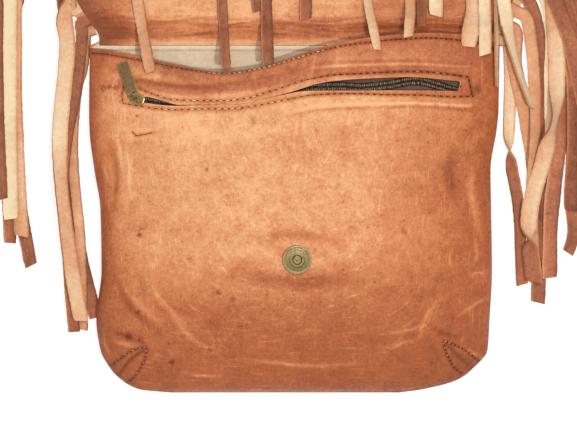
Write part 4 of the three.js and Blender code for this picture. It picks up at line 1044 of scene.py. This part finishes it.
for end in ring, [g for g in spun["geom_last"] if isinstance(g, bmesh.types.BMEdge)]:
    foot = bmesh.ops.extrude_edge_only(bm, edges=end)["geom"]
    bmesh.ops.translate(
        bm, verts=[g for g in foot if isinstance(g, bmesh.types.BMVert)], vec=(0, 0, -BAIL_RISE - BAIL_SUNK))
bmesh.ops.holes_fill(bm, edges=[e for e in bm.edges if e.is_boundary])
bmesh.ops.remove_doubles(bm, verts=bm.verts, dist=1e-5)
bmesh.ops.recalc_face_normals(bm, faces=bm.faces)
bmesh.ops.transform(
    bm, verts=bm.verts, matrix=zip_frame @ Matrix.Rotation(math.radians(SLIDER_TURN), 4, "Z"))


def cast_smooth(piece, levels):
    rounding = piece.modifiers.new("cast", "SUBSURF")
    rounding.levels = rounding.render_levels = levels


slider = finished("zip_slider_brass", bm, [zip_brass, edge_brass], "zip_slider")
cast_smooth(slider, 1)

TAB_STATIONS = [-TAB_BAR, TAB_BAR, 1.9, TAB_HOLE[0], 4.6, 7, 12, 18, 22.2, TAB_LENGTH - TAB_BAR]
TAB_LANES = [-TAB_WIDTH / 2, -TAB_HOLE[1], 0, TAB_HOLE[1], TAB_WIDTH / 2]
bm = bmesh.new()
bmesh.ops.create_grid(bm, x_segments=len(TAB_STATIONS) - 1, y_segments=len(TAB_LANES) - 1, size=1)
for vert in bm.verts:
    station = round((vert.co.x + 1) / 2 * (len(TAB_STATIONS) - 1))
    lane = round((vert.co.y + 1) / 2 * (len(TAB_LANES) - 1))
    x, y = TAB_STATIONS[station], TAB_LANES[lane]
    y *= 1 - 0.12 * ramp(9, 0, x)
    if station == 0 and abs(y) > 3:
        x += 0.4
    vert.co = (x, y, 0.18 * math.sin(x * 0.16))
hole = [
    f for f in bm.faces
    if TAB_BAR < f.calc_center_median().x < TAB_HOLE[0] and abs(f.calc_center_median().y) < TAB_HOLE[1]
]
bmesh.ops.delete(bm, geom=hole, context="FACES")
bmesh.ops.solidify(bm, geom=bm.faces, thickness=TAB_THICK)
bmesh.ops.translate(bm, verts=bm.verts, vec=(0, 0, -sum(v.co.z for v in bm.verts) / len(bm.verts)))
bmesh.ops.recalc_face_normals(bm, faces=bm.faces)
for face in bevelled(bm, [e for e in bm.edges if e.calc_face_angle(0) > 1], 0.2, 2):
    face.material_index = 1
turn = Matrix.Rotation(math.radians(TAB_TURN), 4, "Z") @ Matrix.Rotation(math.radians(TAB_REST), 4, "Y")
bmesh.ops.transform(bm, verts=bm.verts, matrix=zip_frame @ turn)
puller = finished("zip_puller_brass", bm, [zip_brass, edge_brass], "zip_puller", "puller")
cast_smooth(puller, 2)

# The magnetic snap is turned brass, brushed and darkened: a dished ring on the front, riveted
# through the leather, and a ring with a stud on the flap's inner side that meets it.
SNAP_FROM_FOLD = 0.135
SNAP_SEAT = front_height(*SNAP_PLACE) + GAP
# Profiles in mm, from the middle and from the seat.
SOCKET = [
    (3.15, 0), (3.15, 1.75), (3.3, 2.25), (3.55, 2.52), (3.8, 2.6), (4.05, 2.5), (4.25, 2.2), (4.5, 2.12),
    (6, 2.14), (7.4, 2.1), (7.75, 2.05), (7.95, 2.2), (8.25, 2.25), (8.6, 2.05), (8.9, 1.5), (9, 0.8),
    (8.9, 0),
]
RIVET = [
    (0, 2.12), (0.7, 2.1), (1.05, 2.02), (1.2, 1.92), (1.35, 1.9), (1.5, 2.0), (1.9, 1.96), (2.3, 1.75),
    (2.55, 1.4), (2.65, 0.9), (2.65, 0),
]
STUD = [
    (0, 5.2), (1.5, 5.15), (2.2, 4.95), (2.55, 4.5), (2.6, 3.2), (2.75, 2.75), (3.1, 2.55), (4.5, 2.5),
    (6.3, 2.6), (7.4, 2.45), (7.9, 2.5), (8.5, 2.2), (8.9, 1.4), (9, 0.7), (8.9, 0),
]


def turned(name, profile, place, node):
    """A ring or button of the snap, spun from its profile and set on its seat."""
    bm = bmesh.new()
    corners = [bm.verts.new((radius, 0, height)) for radius, height in profile]
    edges = [bm.edges.new(pair) for pair in zip(corners, corners[1:])]
    bmesh.ops.spin(
        bm, geom=corners + edges, cent=(0, 0, 0), axis=(0, 0, 1), angle=math.tau, steps=72, use_merge=True)
    bmesh.ops.remove_doubles(bm, verts=bm.verts, dist=1e-4)
    if profile[0][0] == 0:
        bmesh.ops.holes_fill(bm, edges=[e for e in bm.edges if e.is_boundary])
    bmesh.ops.recalc_face_normals(bm, faces=bm.faces)
    # Painted highlight: the sloped faces, the bevels and the rivet's dome, take the paler brass.
    for face in bm.faces:
        face.material_index = int(0.15 < face.normal.z < 0.95)
    bmesh.ops.transform(bm, verts=bm.verts, matrix=Matrix.Translation(place) @ Matrix.Scale(0.001, 4))
    return finished(name, bm, [snap_brass, slope_highlight_brass], node)


snap_brass = old_brass("snap_brass", rgb(146, 126, 84), rgb(116, 96, 62), rgb(122, 112, 72), 0.45, 0.35)
# A paler brass as painted highlight on the snap's sloped faces.
slope_highlight_brass = old_brass("slope_highlight_brass", rgb(236, 224, 164), rgb(186, 170, 114), rgb(160, 156, 98), 0.5, 0.3)
seat = (*SNAP_PLACE, SNAP_SEAT)
turned("snap_ring", SOCKET + [(3.15, 0)], seat, "snap_socket")
turned("snap_rivet_head", RIVET, seat, "snap_rivet")

# The lining is an inner bag of cream cotton, hung in the leather one and sewn in round the mouth.
# Its back is hemmed a little below the fold, and puffs up in slack folds there.
LINING_SIDE = HIDE + 4 * GAP
CLOTH = 0.001
HEM = 0.1068
HEM_PITCH = 0.0021
HEM_THREAD = 0.0003
ZIP_STACK = COIL_DEPTH + COIL_THICK + TAPE_THICK + 3 * GAP


def lining_slack(x, y):
    """How far the cloth puffs up from the flat back below the mouth, with its hem at the fold."""
    folds = 0.0016 * bell(x + 0.072 + 0.7 * (y - 0.102), 0.005)
    folds += 0.0012 * bell(x + 0.03 - 0.4 * (y - 0.1), 0.008)
    folds += 0.0007 * noise.noise(Vector((x * 70, y * 25, 2.2))) + 0.0005
    hem = 0.0006 * ramp(HEM - 0.0003, HEM + 0.0003, y) - 0.0004 * bell(y - HEM, 0.0005)
    return max(0, folds) * ramp(0.06, 0.085, y) * (1 - ramp(HEM - 0.0035, HEM, y)) + hem


def lining_place(across, along):
    """along runs from the front's mouth down to the bottom, and up the back to the fold."""
    u = math.sin(across * math.pi / 2)
    front_side = along < 0.5
    share = 1 - 2 * along if front_side else 2 * along - 1
    left, right = sides(share)
    left, right = left + LINING_SIDE, right - LINING_SIDE
    x = (left + right) / 2 + u * (right - left) / 2
    level = -FOLD + LINING_SIDE + share * (BAG_HEIGHT - LINING_SIDE)
    if front_side:
        y = level + ramp(0.72, 1, share) * (rim_y(x) - 2 * GAP - FOLD)
        up = share if share < 0.72 else up_bag(y)
        drop = LINING_SIDE * min(1, share / 0.04)
        z = FRONT_SEAM + max(0, BULGE * bulge_at(up) - drop) * crown(u)
        free = 1 - ramp(0.9, 1, abs(u))
        if up > 0.5 and free > 0:
            z = min(z, front_height(x, y) - ZIP_STACK * free)
        return Vector((x, y, z))
    flat = turned_up((1 - abs(u)) * (right - left) / 2) * turned_up(share * BAG_HEIGHT)
    rise = lining_slack(x, level) * flat
    return Vector((x, level, BACK_SEAM - (BACK_SEAM - HIDE - GAP) * flat + rise))


lining_cotton = woven("cream_cotton", rgb(255, 238, 208), rgb(206, 170, 132), 420)
bm, (shade,) = grid_of(
    110, 260,
    lambda across, along: lining_place(across, along - 0.018 * math.sin(2 * math.pi * along)), "shade")
# The cloth below the hem is a little darker than the hem band, and the dark line along the hem is painted
# shade in its seam's groove.
for vert in bm.verts:
    over_hem = vert.co.y - HEM
    vert[shade] = 0.26 - 0.26 * ramp(-0.0002, 0.0002, over_hem) + 0.35 * bell(over_hem, 0.0005)
lining = finished("lining", bm, [lining_cotton], "lining")
thicken(lining, CLOTH, outwards=1, inner=0, rim=0)
hem_line = through([Vector((x / 100, HEM)) for x in range(-12, 13)], SEAM_STEP)[0]
sew("lining_stitches", [(hem_line, HEM_PITCH, [(0, 0.5), (1, 0.5)])],
    lambda x, y: HIDE + GAP + CLOTH + lining_slack(x, y), thick=HEM_THREAD)

# The flap's inner side is a second hide, grain side up, sewn to the first round its edge. It is
# creased where it bends at the fold, and it climbs onto the band of the fringe.
FACING = 0.0014
STRIP = 0.0013
BAND_TUCK = 0.004
BAND_REACH = 0.006
BAND_CLEAR = BAND_TUCK + 0.003
CLIMB = 0.009
PITCH = STRIP + GAP
CREASE_RISE = 0.0015
# Each row is a crease, in shares of the flap's length: its place, its width, its rise and its slant.
CREASES = [
    (0.03, 0.016, 0.8, 0.01), (0.085, 0.018, 1, -0.02), (0.15, 0.02, 0.7, 0.03), (0.23, 0.03, 0.5, -0.02),
]
EDGE_SHARES = [0, 0.008, 0.04, 0.08, 0.14, 0.25, 0.42, 0.6, 0.75, 0.86, 0.94, 0.98, 1]
right_edge = [Vector((HALF_FLAP * flap_share(s), FOLD + s * FLAP_LENGTH)) for s in EDGE_SHARES]
flap_edge = [Vector((-p.x, p.y)) for p in right_edge] + right_edge[::-1]
edge_lengths = [0.0]
for a, b in zip(flap_edge, flap_edge[1:]):
    edge_lengths.append(edge_lengths[-1] + (b - a).length)


def edge_distance(x, y):
    """How far a place is from the flap's edge."""
    best = 1.0
    for a, b in zip(flap_edge, flap_edge[1:]):
        dx, dy = b.x - a.x, b.y - a.y
        t = max(0.0, min(1.0, ((x - a.x) * dx + (y - a.y) * dy) / (dx * dx + dy * dy)))
        best = min(best, math.hypot(x - a.x - t * dx, y - a.y - t * dy))
    return best


def climb_at(x, y, width):
    return 1 - min(1.0, max(0.0, (edge_distance(x, y) - BAND_CLEAR) / width))


def facing_under(x, y):
    along = (y - FOLD) / FLAP_LENGTH
    fade = 1 - ramp(0.75, 0.95, abs(x) / (HALF_FLAP * flap_share(along)))
    lift = sum(
        rise * CREASE_RISE * bell(along - at - slant * x / (2 * HALF_FLAP), spread)
        for at, spread, rise, slant in CREASES
    )
    return HIDE + GAP + max(PITCH * climb_at(x, y, CLIMB), lift * fade)


def facing_place(across, along):
    u = math.sin(across * math.pi / 2)
    y = FOLD + GAP + along * (FLAP_LENGTH - GAP)
    x = u * HALF_FLAP * flap_share((y - FOLD) / FLAP_LENGTH)
    return Vector((x, y, facing_under(x, y) + FACING))


def wrinkles(x, y):
    """The fine creases that cross the leather where it bends at the fold."""
    off = y - FOLD
    near = ramp(0.0005, 0.003, off) * (1 - ramp(0.012, 0.03, off))
    fine = noise.noise(Vector((x * 22, off * 420 + 3 * noise.noise(Vector((x * 30, 0, 1))), 4.2)))
    broad = noise.noise(Vector((x * 12, off * 160, 9.1)))
    pucker = 0.0005 * bell(x - 0.0148 - 0.2 * (off - 0.003), 0.0011) * bell(off - 0.0025, 0.004)
    return (0.0009 * fine + 0.0012 * broad) * near + pucker


bm, (shade, inwards, around) = grid_of(
    150, 150, lambda across, along: facing_place(across, along ** 1.8), "shade", "inwards", "around")
for vert in bm.verts:
    x, y = vert.co.x, vert.co.y
    off = y - FOLD
    near = edge_distance(x, y)
    vert.co.z += wrinkles(x, y) * ramp(0.001, 0.006, near)
    darkening = 0.1 + 0.5 * math.exp(-near / 0.006) + 0.4 * ramp(0.03, 0.085, x) + 0.65 * ramp(-0.095, -0.125, x)
    # Painted shade: thin dark lines across the leather near the fold, for its fine creases.
    crossing = noise.noise(Vector((x * 13, off * 260 + 0.6 * math.sin(x * 60), 2.7)))
    darkening += 0.34 * max(0, 1 - abs(crossing) / 0.1) * ramp(0.004, 0.007, off) * (1 - ramp(0.013, 0.024, off))
    darkening += 0.22 * bell(x - 0.02, 0.03) * bell(off - 0.013, 0.012)
    # Painted shade: a darker band along the fold, where the hide is creased.
    darkening += 0.42 * ramp(0.002, 0.006, off) * (1 - ramp(0.011, 0.02, off)) * (1 - 0.5 * ramp(0.05, 0.09, x))
    darkening += 0.22 * noise.noise(Vector((x * 16, off * 90, 6.6))) * (1 - ramp(0.02, 0.04, off))
    vert[shade] = darkening
    vert[inwards] = off * 900
    vert[around] = x * 60
facing_leather = leather("facing_leather", TAN)
facing = finished("flap_facing_leather", bm, [facing_leather, flesh_side], "flap_facing")
thicken(facing, FACING)
stud_y = FOLD + SNAP_FROM_FOLD
stud_place = (SNAP_PLACE[0], stud_y, facing_under(SNAP_PLACE[0], stud_y) + FACING + GAP)
turned("flap_snap_stud", STUD, stud_place, "flap_snap")

# The fringe is cut by hand in strips of the same hide, sewn by their roots on a band between the
# flap's two hides. They have fallen as they like, some over the bag, with either side up.
STRIP_COUNT = 54
FLESH, GRAIN = 0, 1
# Each row is a strip, in the order in which they fell: its root's number along the flap's edge,
# its width, the side that shows, how dark it is, and the places that it passes, on the bag.
LEFT_STRIPS = [
    (4, 0.0085, GRAIN, 0.5, [(-1.129, 1.28), (-1.112, 1.1), (-1.11, 0.51), (-1.06, -0.12), (-0.969, -0.57)]),
    (0.5, 0.0066, FLESH, 0.5, [
        (-1.022, 0.985), (-1.036, 0.86), (-1.06, 0.75), (-1.081, 0.4), (-1.045, -0.12), (-1.032, -0.639)]),
    (1.2, 0.0075, GRAIN, 0.45, [
        (-1.035, 1.08), (-1.042, 0.97), (-1.066, 0.74), (-1.124, 0.32), (-1.1, -0.25), (-1.073, -0.65)]),
    (2.1, 0.010, FLESH, 0.3, [
        (-1.08, 1.3), (-1.118, 1.17), (-1.105, 1), (-1.14, 0.5), (-1.134, 0.2), (-1.071, -0.38),
        (-1.037, -0.587)]),
    (5, 0.0085, GRAIN, 0.5, [(-1.245, 1.44), (-1.34, 1.3), (-1.371, 0.63), (-1.357, 0.22), (-1.284, -0.27)]),
    (6, 0.0085, GRAIN, 0.5, [(-1.25, 1.56), (-1.345, 1.42), (-1.401, 0.74), (-1.386, -0.138)]),
    (7, 0.009, FLESH, 0.5, [(-1.245, 1.67), (-1.335, 1.5), (-1.362, 0.91), (-1.357, 0.56), (-1.328, -0.098)]),
    (8, 0.010, FLESH, 0.0, [(-1.26, 1.8), (-1.355, 1.63), (-1.386, 0.92), (-1.386, 0.49), (-1.379, 0)]),
    (9, 0.009, GRAIN, 0.5, [(-1.284, 1.93), (-1.41, 1.78), (-1.45, 0.92), (-1.43, 0.11)]),
    (10, 0.009, FLESH, 0.5, [(-1.304, 2.065), (-1.47, 1.94), (-1.55, 1.26), (-1.536, 0.4)]),
    (11, 0.009, FLESH, 0.5, [(-1.33, 2.18), (-1.56, 2.07), (-1.65, 1.4), (-1.63, 0.56)]),
    (12, 0.009, GRAIN, 0.5, [(-1.33, 2.3), (-1.6, 2.2), (-1.745, 1.6), (-1.73, 0.75)]),
]
TOP_STRIPS = [
    (17, 0.007, FLESH, 0.5, [(-0.81, 1.89), (-0.763, 1.26), (-0.699, 0.842)]),
    (22, 0.006, GRAIN, 0.5, [(-0.388, 1.95), (-0.354, 1.26), (-0.332, 0.863)]),
    (24, 0.009, GRAIN, 0.5, [(-0.222, 2), (-0.174, 1.2)]),
    (25, 0.0075, GRAIN, 0.5, [(-0.155, 1.83), (-0.14, 1.26), (-0.131, 0.886)]),
    (28, 0.0075, GRAIN, 0.5, [(0.135, 2.2), (0.06, 1.7), (0.051, 1.15)]),
    (30, 0.0056, FLESH, 0.4, [(0.305, 1.89), (0.354, 1.26), (0.4, 0.972)]),
    (32, 0.0065, FLESH, 0.5, [(0.5, 1.89), (0.56, 1.26), (0.55, 1.047)]),
    (33, 0.0055, GRAIN, 0.5, [(0.58, 1.89), (0.614, 1.26), (0.614, 1.108)]),
    (34, 0.0095, FLESH, 0.1, [(0.66, 1.89), (0.688, 1.17)]),
    (35, 0.0075, FLESH, 0.3, [(0.79, 1.89), (0.86, 1.26), (0.841, 0.99)]),
    (36, 0.0078, FLESH, 0.1, [(0.87, 1.89), (0.92, 1.26), (0.921, 0.944)]),
]
RIGHT_STRIPS = [
    (53, 0.0075, FLESH, 0.25, [(1.03, 1.03), (1.047, 0.83), (1.043, 0.39), (1.086, 0.08), (1.105, -0.38)]),
    (52, 0.009, FLESH, 0.5, [(1.065, 1.09), (1.068, 0.9), (1.124, 0.58), (1.175, 0.11), (1.168, -0.18)]),
    (50, 0.009, GRAIN, 0.5, [(1.158, 1.2), (1.19, 0.97), (1.226, 0.6), (1.197, 0.17), (1.182, -0.483)]),
    (51, 0.008, FLESH, 0.55, [(1.119, 1.17), (1.149, 1), (1.168, 0.6), (1.149, 0.1), (1.168, -0.357)]),
    (49, 0.005, FLESH, 0.1, [(1.207, 1.26), (1.236, 1.08), (1.231, 0.8), (1.245, 0.05)]),
    (46, 0.008, GRAIN, 0.5, [(1.342, 1.55), (1.381, 1.15), (1.342, 0.17), (1.352, -0.1), (1.328, -0.196)]),
    (47, 0.0095, GRAIN, 0.15, [(1.265, 1.37), (1.305, 1.03), (1.289, 0.51), (1.245, 0.05), (1.236, -0.339)]),
    (48, 0.0105, FLESH, 0.32, [
        (1.236, 1.37), (1.265, 1.1), (1.265, 0.63), (1.212, 0.37), (1.137, 0.02), (1.16, -0.363)]),
    (45, 0.0085, GRAIN, 0.6, [(1.304, 1.49), (1.34, 1.2), (1.352, 0.68), (1.342, 0.05)]),
    (42, 0.009, GRAIN, 0.5, [(1.3, 1.57), (1.44, 0.94), (1.53, 0.11)]),
    (43.5, 0.010, GRAIN, 0.3, [(1.231, 1.4), (1.342, 1), (1.44, 0.4), (1.459, -0.03)]),
    (37, 0.004, FLESH, 0.2, [(0.938, 1.89), (0.975, 1.26), (0.977, 0.97), (0.979, 0.76)]),
    (38, 0.009, FLESH, 0.1, [(0.993, 1.83), (1.013, 1.26), (1.061, 0.95), (1.149, 0.64)]),
]
OVER_FLAP = (37, 38)
# How some strips turn about their own length, in degrees from root to end, and how some end wide.
ROLLS = {
    38: [(0, 0), (0.66, 10), (0.8, 55), (0.88, 68), (1, 73)],
    37: [(0, 0), (0.5, 60), (1, 66)],
    2.1: [(0, 10), (0.08, 62), (0.2, 5), (0.45, 10), (0.65, 40), (1, 10)],
    45: [(0, 0), (0.5, 0), (0.75, 25), (1, -20)],
    48: [(0, 0), (0.38, 5), (0.53, 68), (0.61, 15), (0.82, 8), (0.93, 180), (1, 180)],
    51: [(0, 0), (0.3, 10), (0.5, 30), (0.75, 15), (1, 0)],
    53: [(0, 0), (0.4, 8), (0.58, 180), (1, 180)],
}
FLARES = {35: 0.45, 38: 0.1, 45: 0.1}
BAND_SINK = 0.0001
FAN_LENGTH = 0.196
FAN_WIDTH = 0.009
FAN_GATHERED = 0.45
SAMPLE = 0.0015
BAND_MIDDLE = HIDE + GAP + STRIP / 2
TABLE_CLEAR = 0.0001
STEEPEST_OVER, STEEPEST_BESIDE = 0.6, 0.14
ROOT_HELD = 0.012
CURL = 0.0008
FRAY = 0.00035


def edge_point(share):
    length = share * edge_lengths[-1]
    k = min(bisect_right(edge_lengths, length), len(edge_lengths) - 1)
    span = edge_lengths[k] - edge_lengths[k - 1]
    return flap_edge[k - 1].lerp(flap_edge[k], (length - edge_lengths[k - 1]) / span)


def edge_at(share, outwards):
    """A place outside the flap's edge, and the direction out of the edge there."""
    travel = (edge_point(min(1, share + 0.016)) - edge_point(max(0, share - 0.016))).normalized()
    outward = Vector((-travel.y, travel.x))
    return edge_point(share) + outward * outwards, outward


def ground_at(x, y):
    """What a strip lies on when it has fallen inwards over the flap and the front."""
    along = (y - FOLD) / FLAP_LENGTH
    left, right = sides(up_bag(y))
    in_body = left < x < right
    if in_body and y < rim_y(x) + 0.005 + GAP:
        return front_height(x, min(y, rim_y(x))) + GAP
    if along > 0 and (abs(x) < HALF_FLAP * flap_share(along) or edge_distance(x, y) < 2 * BAND_REACH):
        creased = CREASE_RISE * (1 - ramp(0.26, 0.36, along))
        return HIDE + FACING + 2 * GAP + max(PITCH * climb_at(x, y, 2 * CLIMB), creased)
    if in_body and y <= FOLD:
        return HIDE + CLOTH + 2 * GAP
    return TABLE_CLEAR


def lay_strip(number, width, by, inwards, placed):
    """The strip's places, with heights that rest on the ground and on the strips laid before."""
    share = (number + 0.5) / STRIP_COUNT
    root, outward = edge_at(share, BAND_REACH)
    start = root if inwards else edge_at(share, 0)[0]
    then = edge_at(share, -2 * BAND_REACH)[0] if inwards else root
    places, travels = through([start, then, *by], SAMPLE)
    across = [Vector((t.y, -t.x)) for t in travels]
    heights = []
    for place, side in zip(places, across):
        rests = [TABLE_CLEAR]
        if inwards:
            rests = [ground_at(*(place + side * (hand * width / 2))) for hand in (-1, 0, 1)]
        under = [z for x, y, z, w in placed if math.hypot(x - place.x, y - place.y) < (w + width) / 2]
        heights.append(max(rests + [z + STRIP / 2 + GAP for z in under]) + STRIP / 2)
    steepest = STEEPEST_OVER if inwards else STEEPEST_BESIDE
    for order in (range(1, len(places)), range(len(places) - 2, -1, -1)):
        for i in order:
            j = i - 1 if order.step == 1 else i + 1
            heights[i] = max(heights[i], heights[j] - steepest * (places[i] - places[j]).length)
    if not inwards:
        for i in range(round(ROOT_HELD / SAMPLE)):
            heights[i] = BAND_MIDDLE if i < 2 else max(heights[i], BAND_MIDDLE)
    placed.extend((p.x, p.y, z, width) for p, z in list(zip(places, heights))[4:])
    return places, across, heights, outward


def strip_sheet(bm, layers, path, sides_of, width, side, tone, number, rolls):
    """Adds one strip along its path: hand cut, so uneven in width, and a little curled and frayed."""
    tones, shades, inwards, around = layers
    count = len(path)
    roll_at = smooth_curve([(share, math.radians(angle)) for share, angle in rolls])
    curl = CURL * math.sin(number * 4.3)
    slant = 0.3 * math.sin(number * 7.9)
    # Painted shade: how much darker one side of the strip is than the other.
    painted_side_shade = 0.14 * math.sin(number * 2.9)
    made = bmesh.ops.create_grid(bm, x_segments=6, y_segments=count - 1, size=1)["verts"]
    for vert in made:
        hand = vert.co.x
        i = round((vert.co.y + 1) / 2 * (count - 1))
        place, across = path[i], sides_of[i]
        travel = (path[min(i + 1, count - 1)] - path[max(i - 1, 0)]).normalized()
        out = across.cross(travel)
        at = i * SAMPLE
        half = width / 2 * (1 + 0.08 * noise.noise(Vector((number * 3.7, at * 55, 0.5))))
        half *= 1 - 0.12 * ramp(count - 4, count, i) * abs(hand)
        half *= 1 + FLARES.get(number, 0) * bell(i / (count - 1) - 0.95, 0.05)
        frayed = FRAY * noise.noise(Vector((number * 1.3, at * 900, hand))) if abs(hand) > 0.9 else 0
        roll = roll_at(i / (count - 1))
        flat = across * math.cos(roll) + out * math.sin(roll)
        bowed = curl * (1 + 0.8 * noise.noise(Vector((number, at * 30, 2.5)))) * (hand * hand - (curl <= 0))
        vert.co = place + flat * (hand * half + frayed) + out * (bowed + half * abs(math.sin(roll)))
        if i == count - 1:
            vert.co += travel * (slant * hand * half)
        patch = noise.noise(Vector((number * 2.1, at * 28, 1.5)))
        # Painted shade across each strip, darker on one side, and a painted shadow darkening its left edge.
        painted_edge_shadow = 0.3 * max(0, -hand) ** 8
        vert[tones] = tone + painted_side_shade * hand + 0.22 * patch + 0.12 * abs(hand) ** 6 + painted_edge_shadow
        vert[shades] = 0.3 + 0.6 * tone + painted_side_shade * hand + 0.2 * patch - 0.45 * max(0, hand) ** 8 + painted_edge_shadow
        vert[inwards] = hand * half * 900
        vert[around] = at * 70
    for face in {face for vert in made for face in vert.link_faces}:
        face.material_index = side
        face.smooth = True


def fan_places(number):
    """Where a strip lies that spreads out from the flap's edge onto the table."""
    share = (number + 0.5) / STRIP_COUNT
    root, outward = edge_at(share, BAND_REACH)
    out = math.atan2(outward.y, outward.x)
    lie = math.pi / 2 + (out - math.pi / 2) * FAN_GATHERED + 0.1 * math.sin(number * 2.3)
    places = []
    for part in (0.12, 0.4, 0.7, 1):
        angle = out + (lie - out) * min(1, part * 2.2)
        sway = 0.005 * math.sin(number * 1.7 + part * 4) * part
        places.append(root + Vector((
            FAN_LENGTH * part * math.cos(angle) - sway * math.sin(angle),
            FAN_LENGTH * part * math.sin(angle) + sway * math.cos(angle),
        )))
    return places


def fringe(name, first, last, strips, inwards, node):
    """One stretch of the fringe: the named strips, a fan of plain ones in the other places, and the band."""
    bm = bmesh.new()
    layers = [bm.verts.layers.float.new(layer) for layer in ("tone", "shade", "inwards", "around")]
    placed = []
    numbers = [row[0] for row in strips]
    rows = [(number, width, side, tone, on_bag(by)) for number, width, side, tone, by in strips]
    for number in range(math.ceil(first), math.floor(last)):
        if all(abs(number - other) > 0.95 for other in numbers):
            side = FLESH if math.sin(number * 5.1) > -0.2 else GRAIN
            rows.append((number, FAN_WIDTH, side, 0.35 + 0.3 * math.sin(number * 3.3), fan_places(number)))
    for number, width, side, tone, by in rows:
        inside = inwards and number in numbers or number in OVER_FLAP
        places, across, heights, outward = lay_strip(number, width, by, inside, placed)
        path = [Vector((p.x, p.y, z)) for p, z in zip(places, heights)]
        widths = [Vector((a.x, a.y, 0)) for a in across]
        if inside:
            # It is folded back over its own root, round a half circle.
            radius = (path[0].z - BAND_MIDDLE) / 2
            out = Vector((outward.x, outward.y, 0))
            base = Vector((path[0].x, path[0].y, BAND_MIDDLE + radius))
            turn = [
                base + out * (radius * math.cos(a)) + Vector((0, 0, radius * math.sin(a)))
                for a in (-math.pi / 2, -math.pi / 4, 0, math.pi / 4)
            ]
            root = Vector((path[0].x, path[0].y, BAND_MIDDLE)) - out * 0.003
            path = [root, *turn, *path]
            widths = [widths[0]] * 5 + widths
        strip_sheet(bm, layers, path, widths, width, side, tone, number, ROLLS.get(number, [(0, 0), (1, 0)]))
    steps = round((last - first) * 3)
    for vert in bmesh.ops.create_grid(bm, x_segments=2, y_segments=steps, size=1)["verts"]:
        share = (first + (last - first) * (vert.co.y + 1) / 2) / STRIP_COUNT
        place = edge_at(share, BAND_REACH - (vert.co.x + 1) / 2 * (BAND_TUCK + BAND_REACH))[0]
        vert.co = (place.x, place.y, BAND_MIDDLE - BAND_SINK)
        vert[layers[0]] = 0.5
    piece = finished(name, bm, [flesh_side, strip_grain, flesh_side, cut_edge], node)
    thicken(piece, STRIP, outwards=0, inner=1, rim=3)
    return piece


strip_grain = leather(
    "strip_grain", (rgb(226, 152, 110), rgb(192, 118, 82), rgb(154, 90, 62), rgb(112, 64, 44)), roughness=0.6
)
fringe("left_fringe", 1.3, 16.95, LEFT_STRIPS, False, "fringe_left")
fringe("top_fringe", 17, 36.95, TOP_STRIPS, True, "fringe_top")
fringe("right_fringe", 37, 53.4, RIGHT_STRIPS, False, "fringe_right")
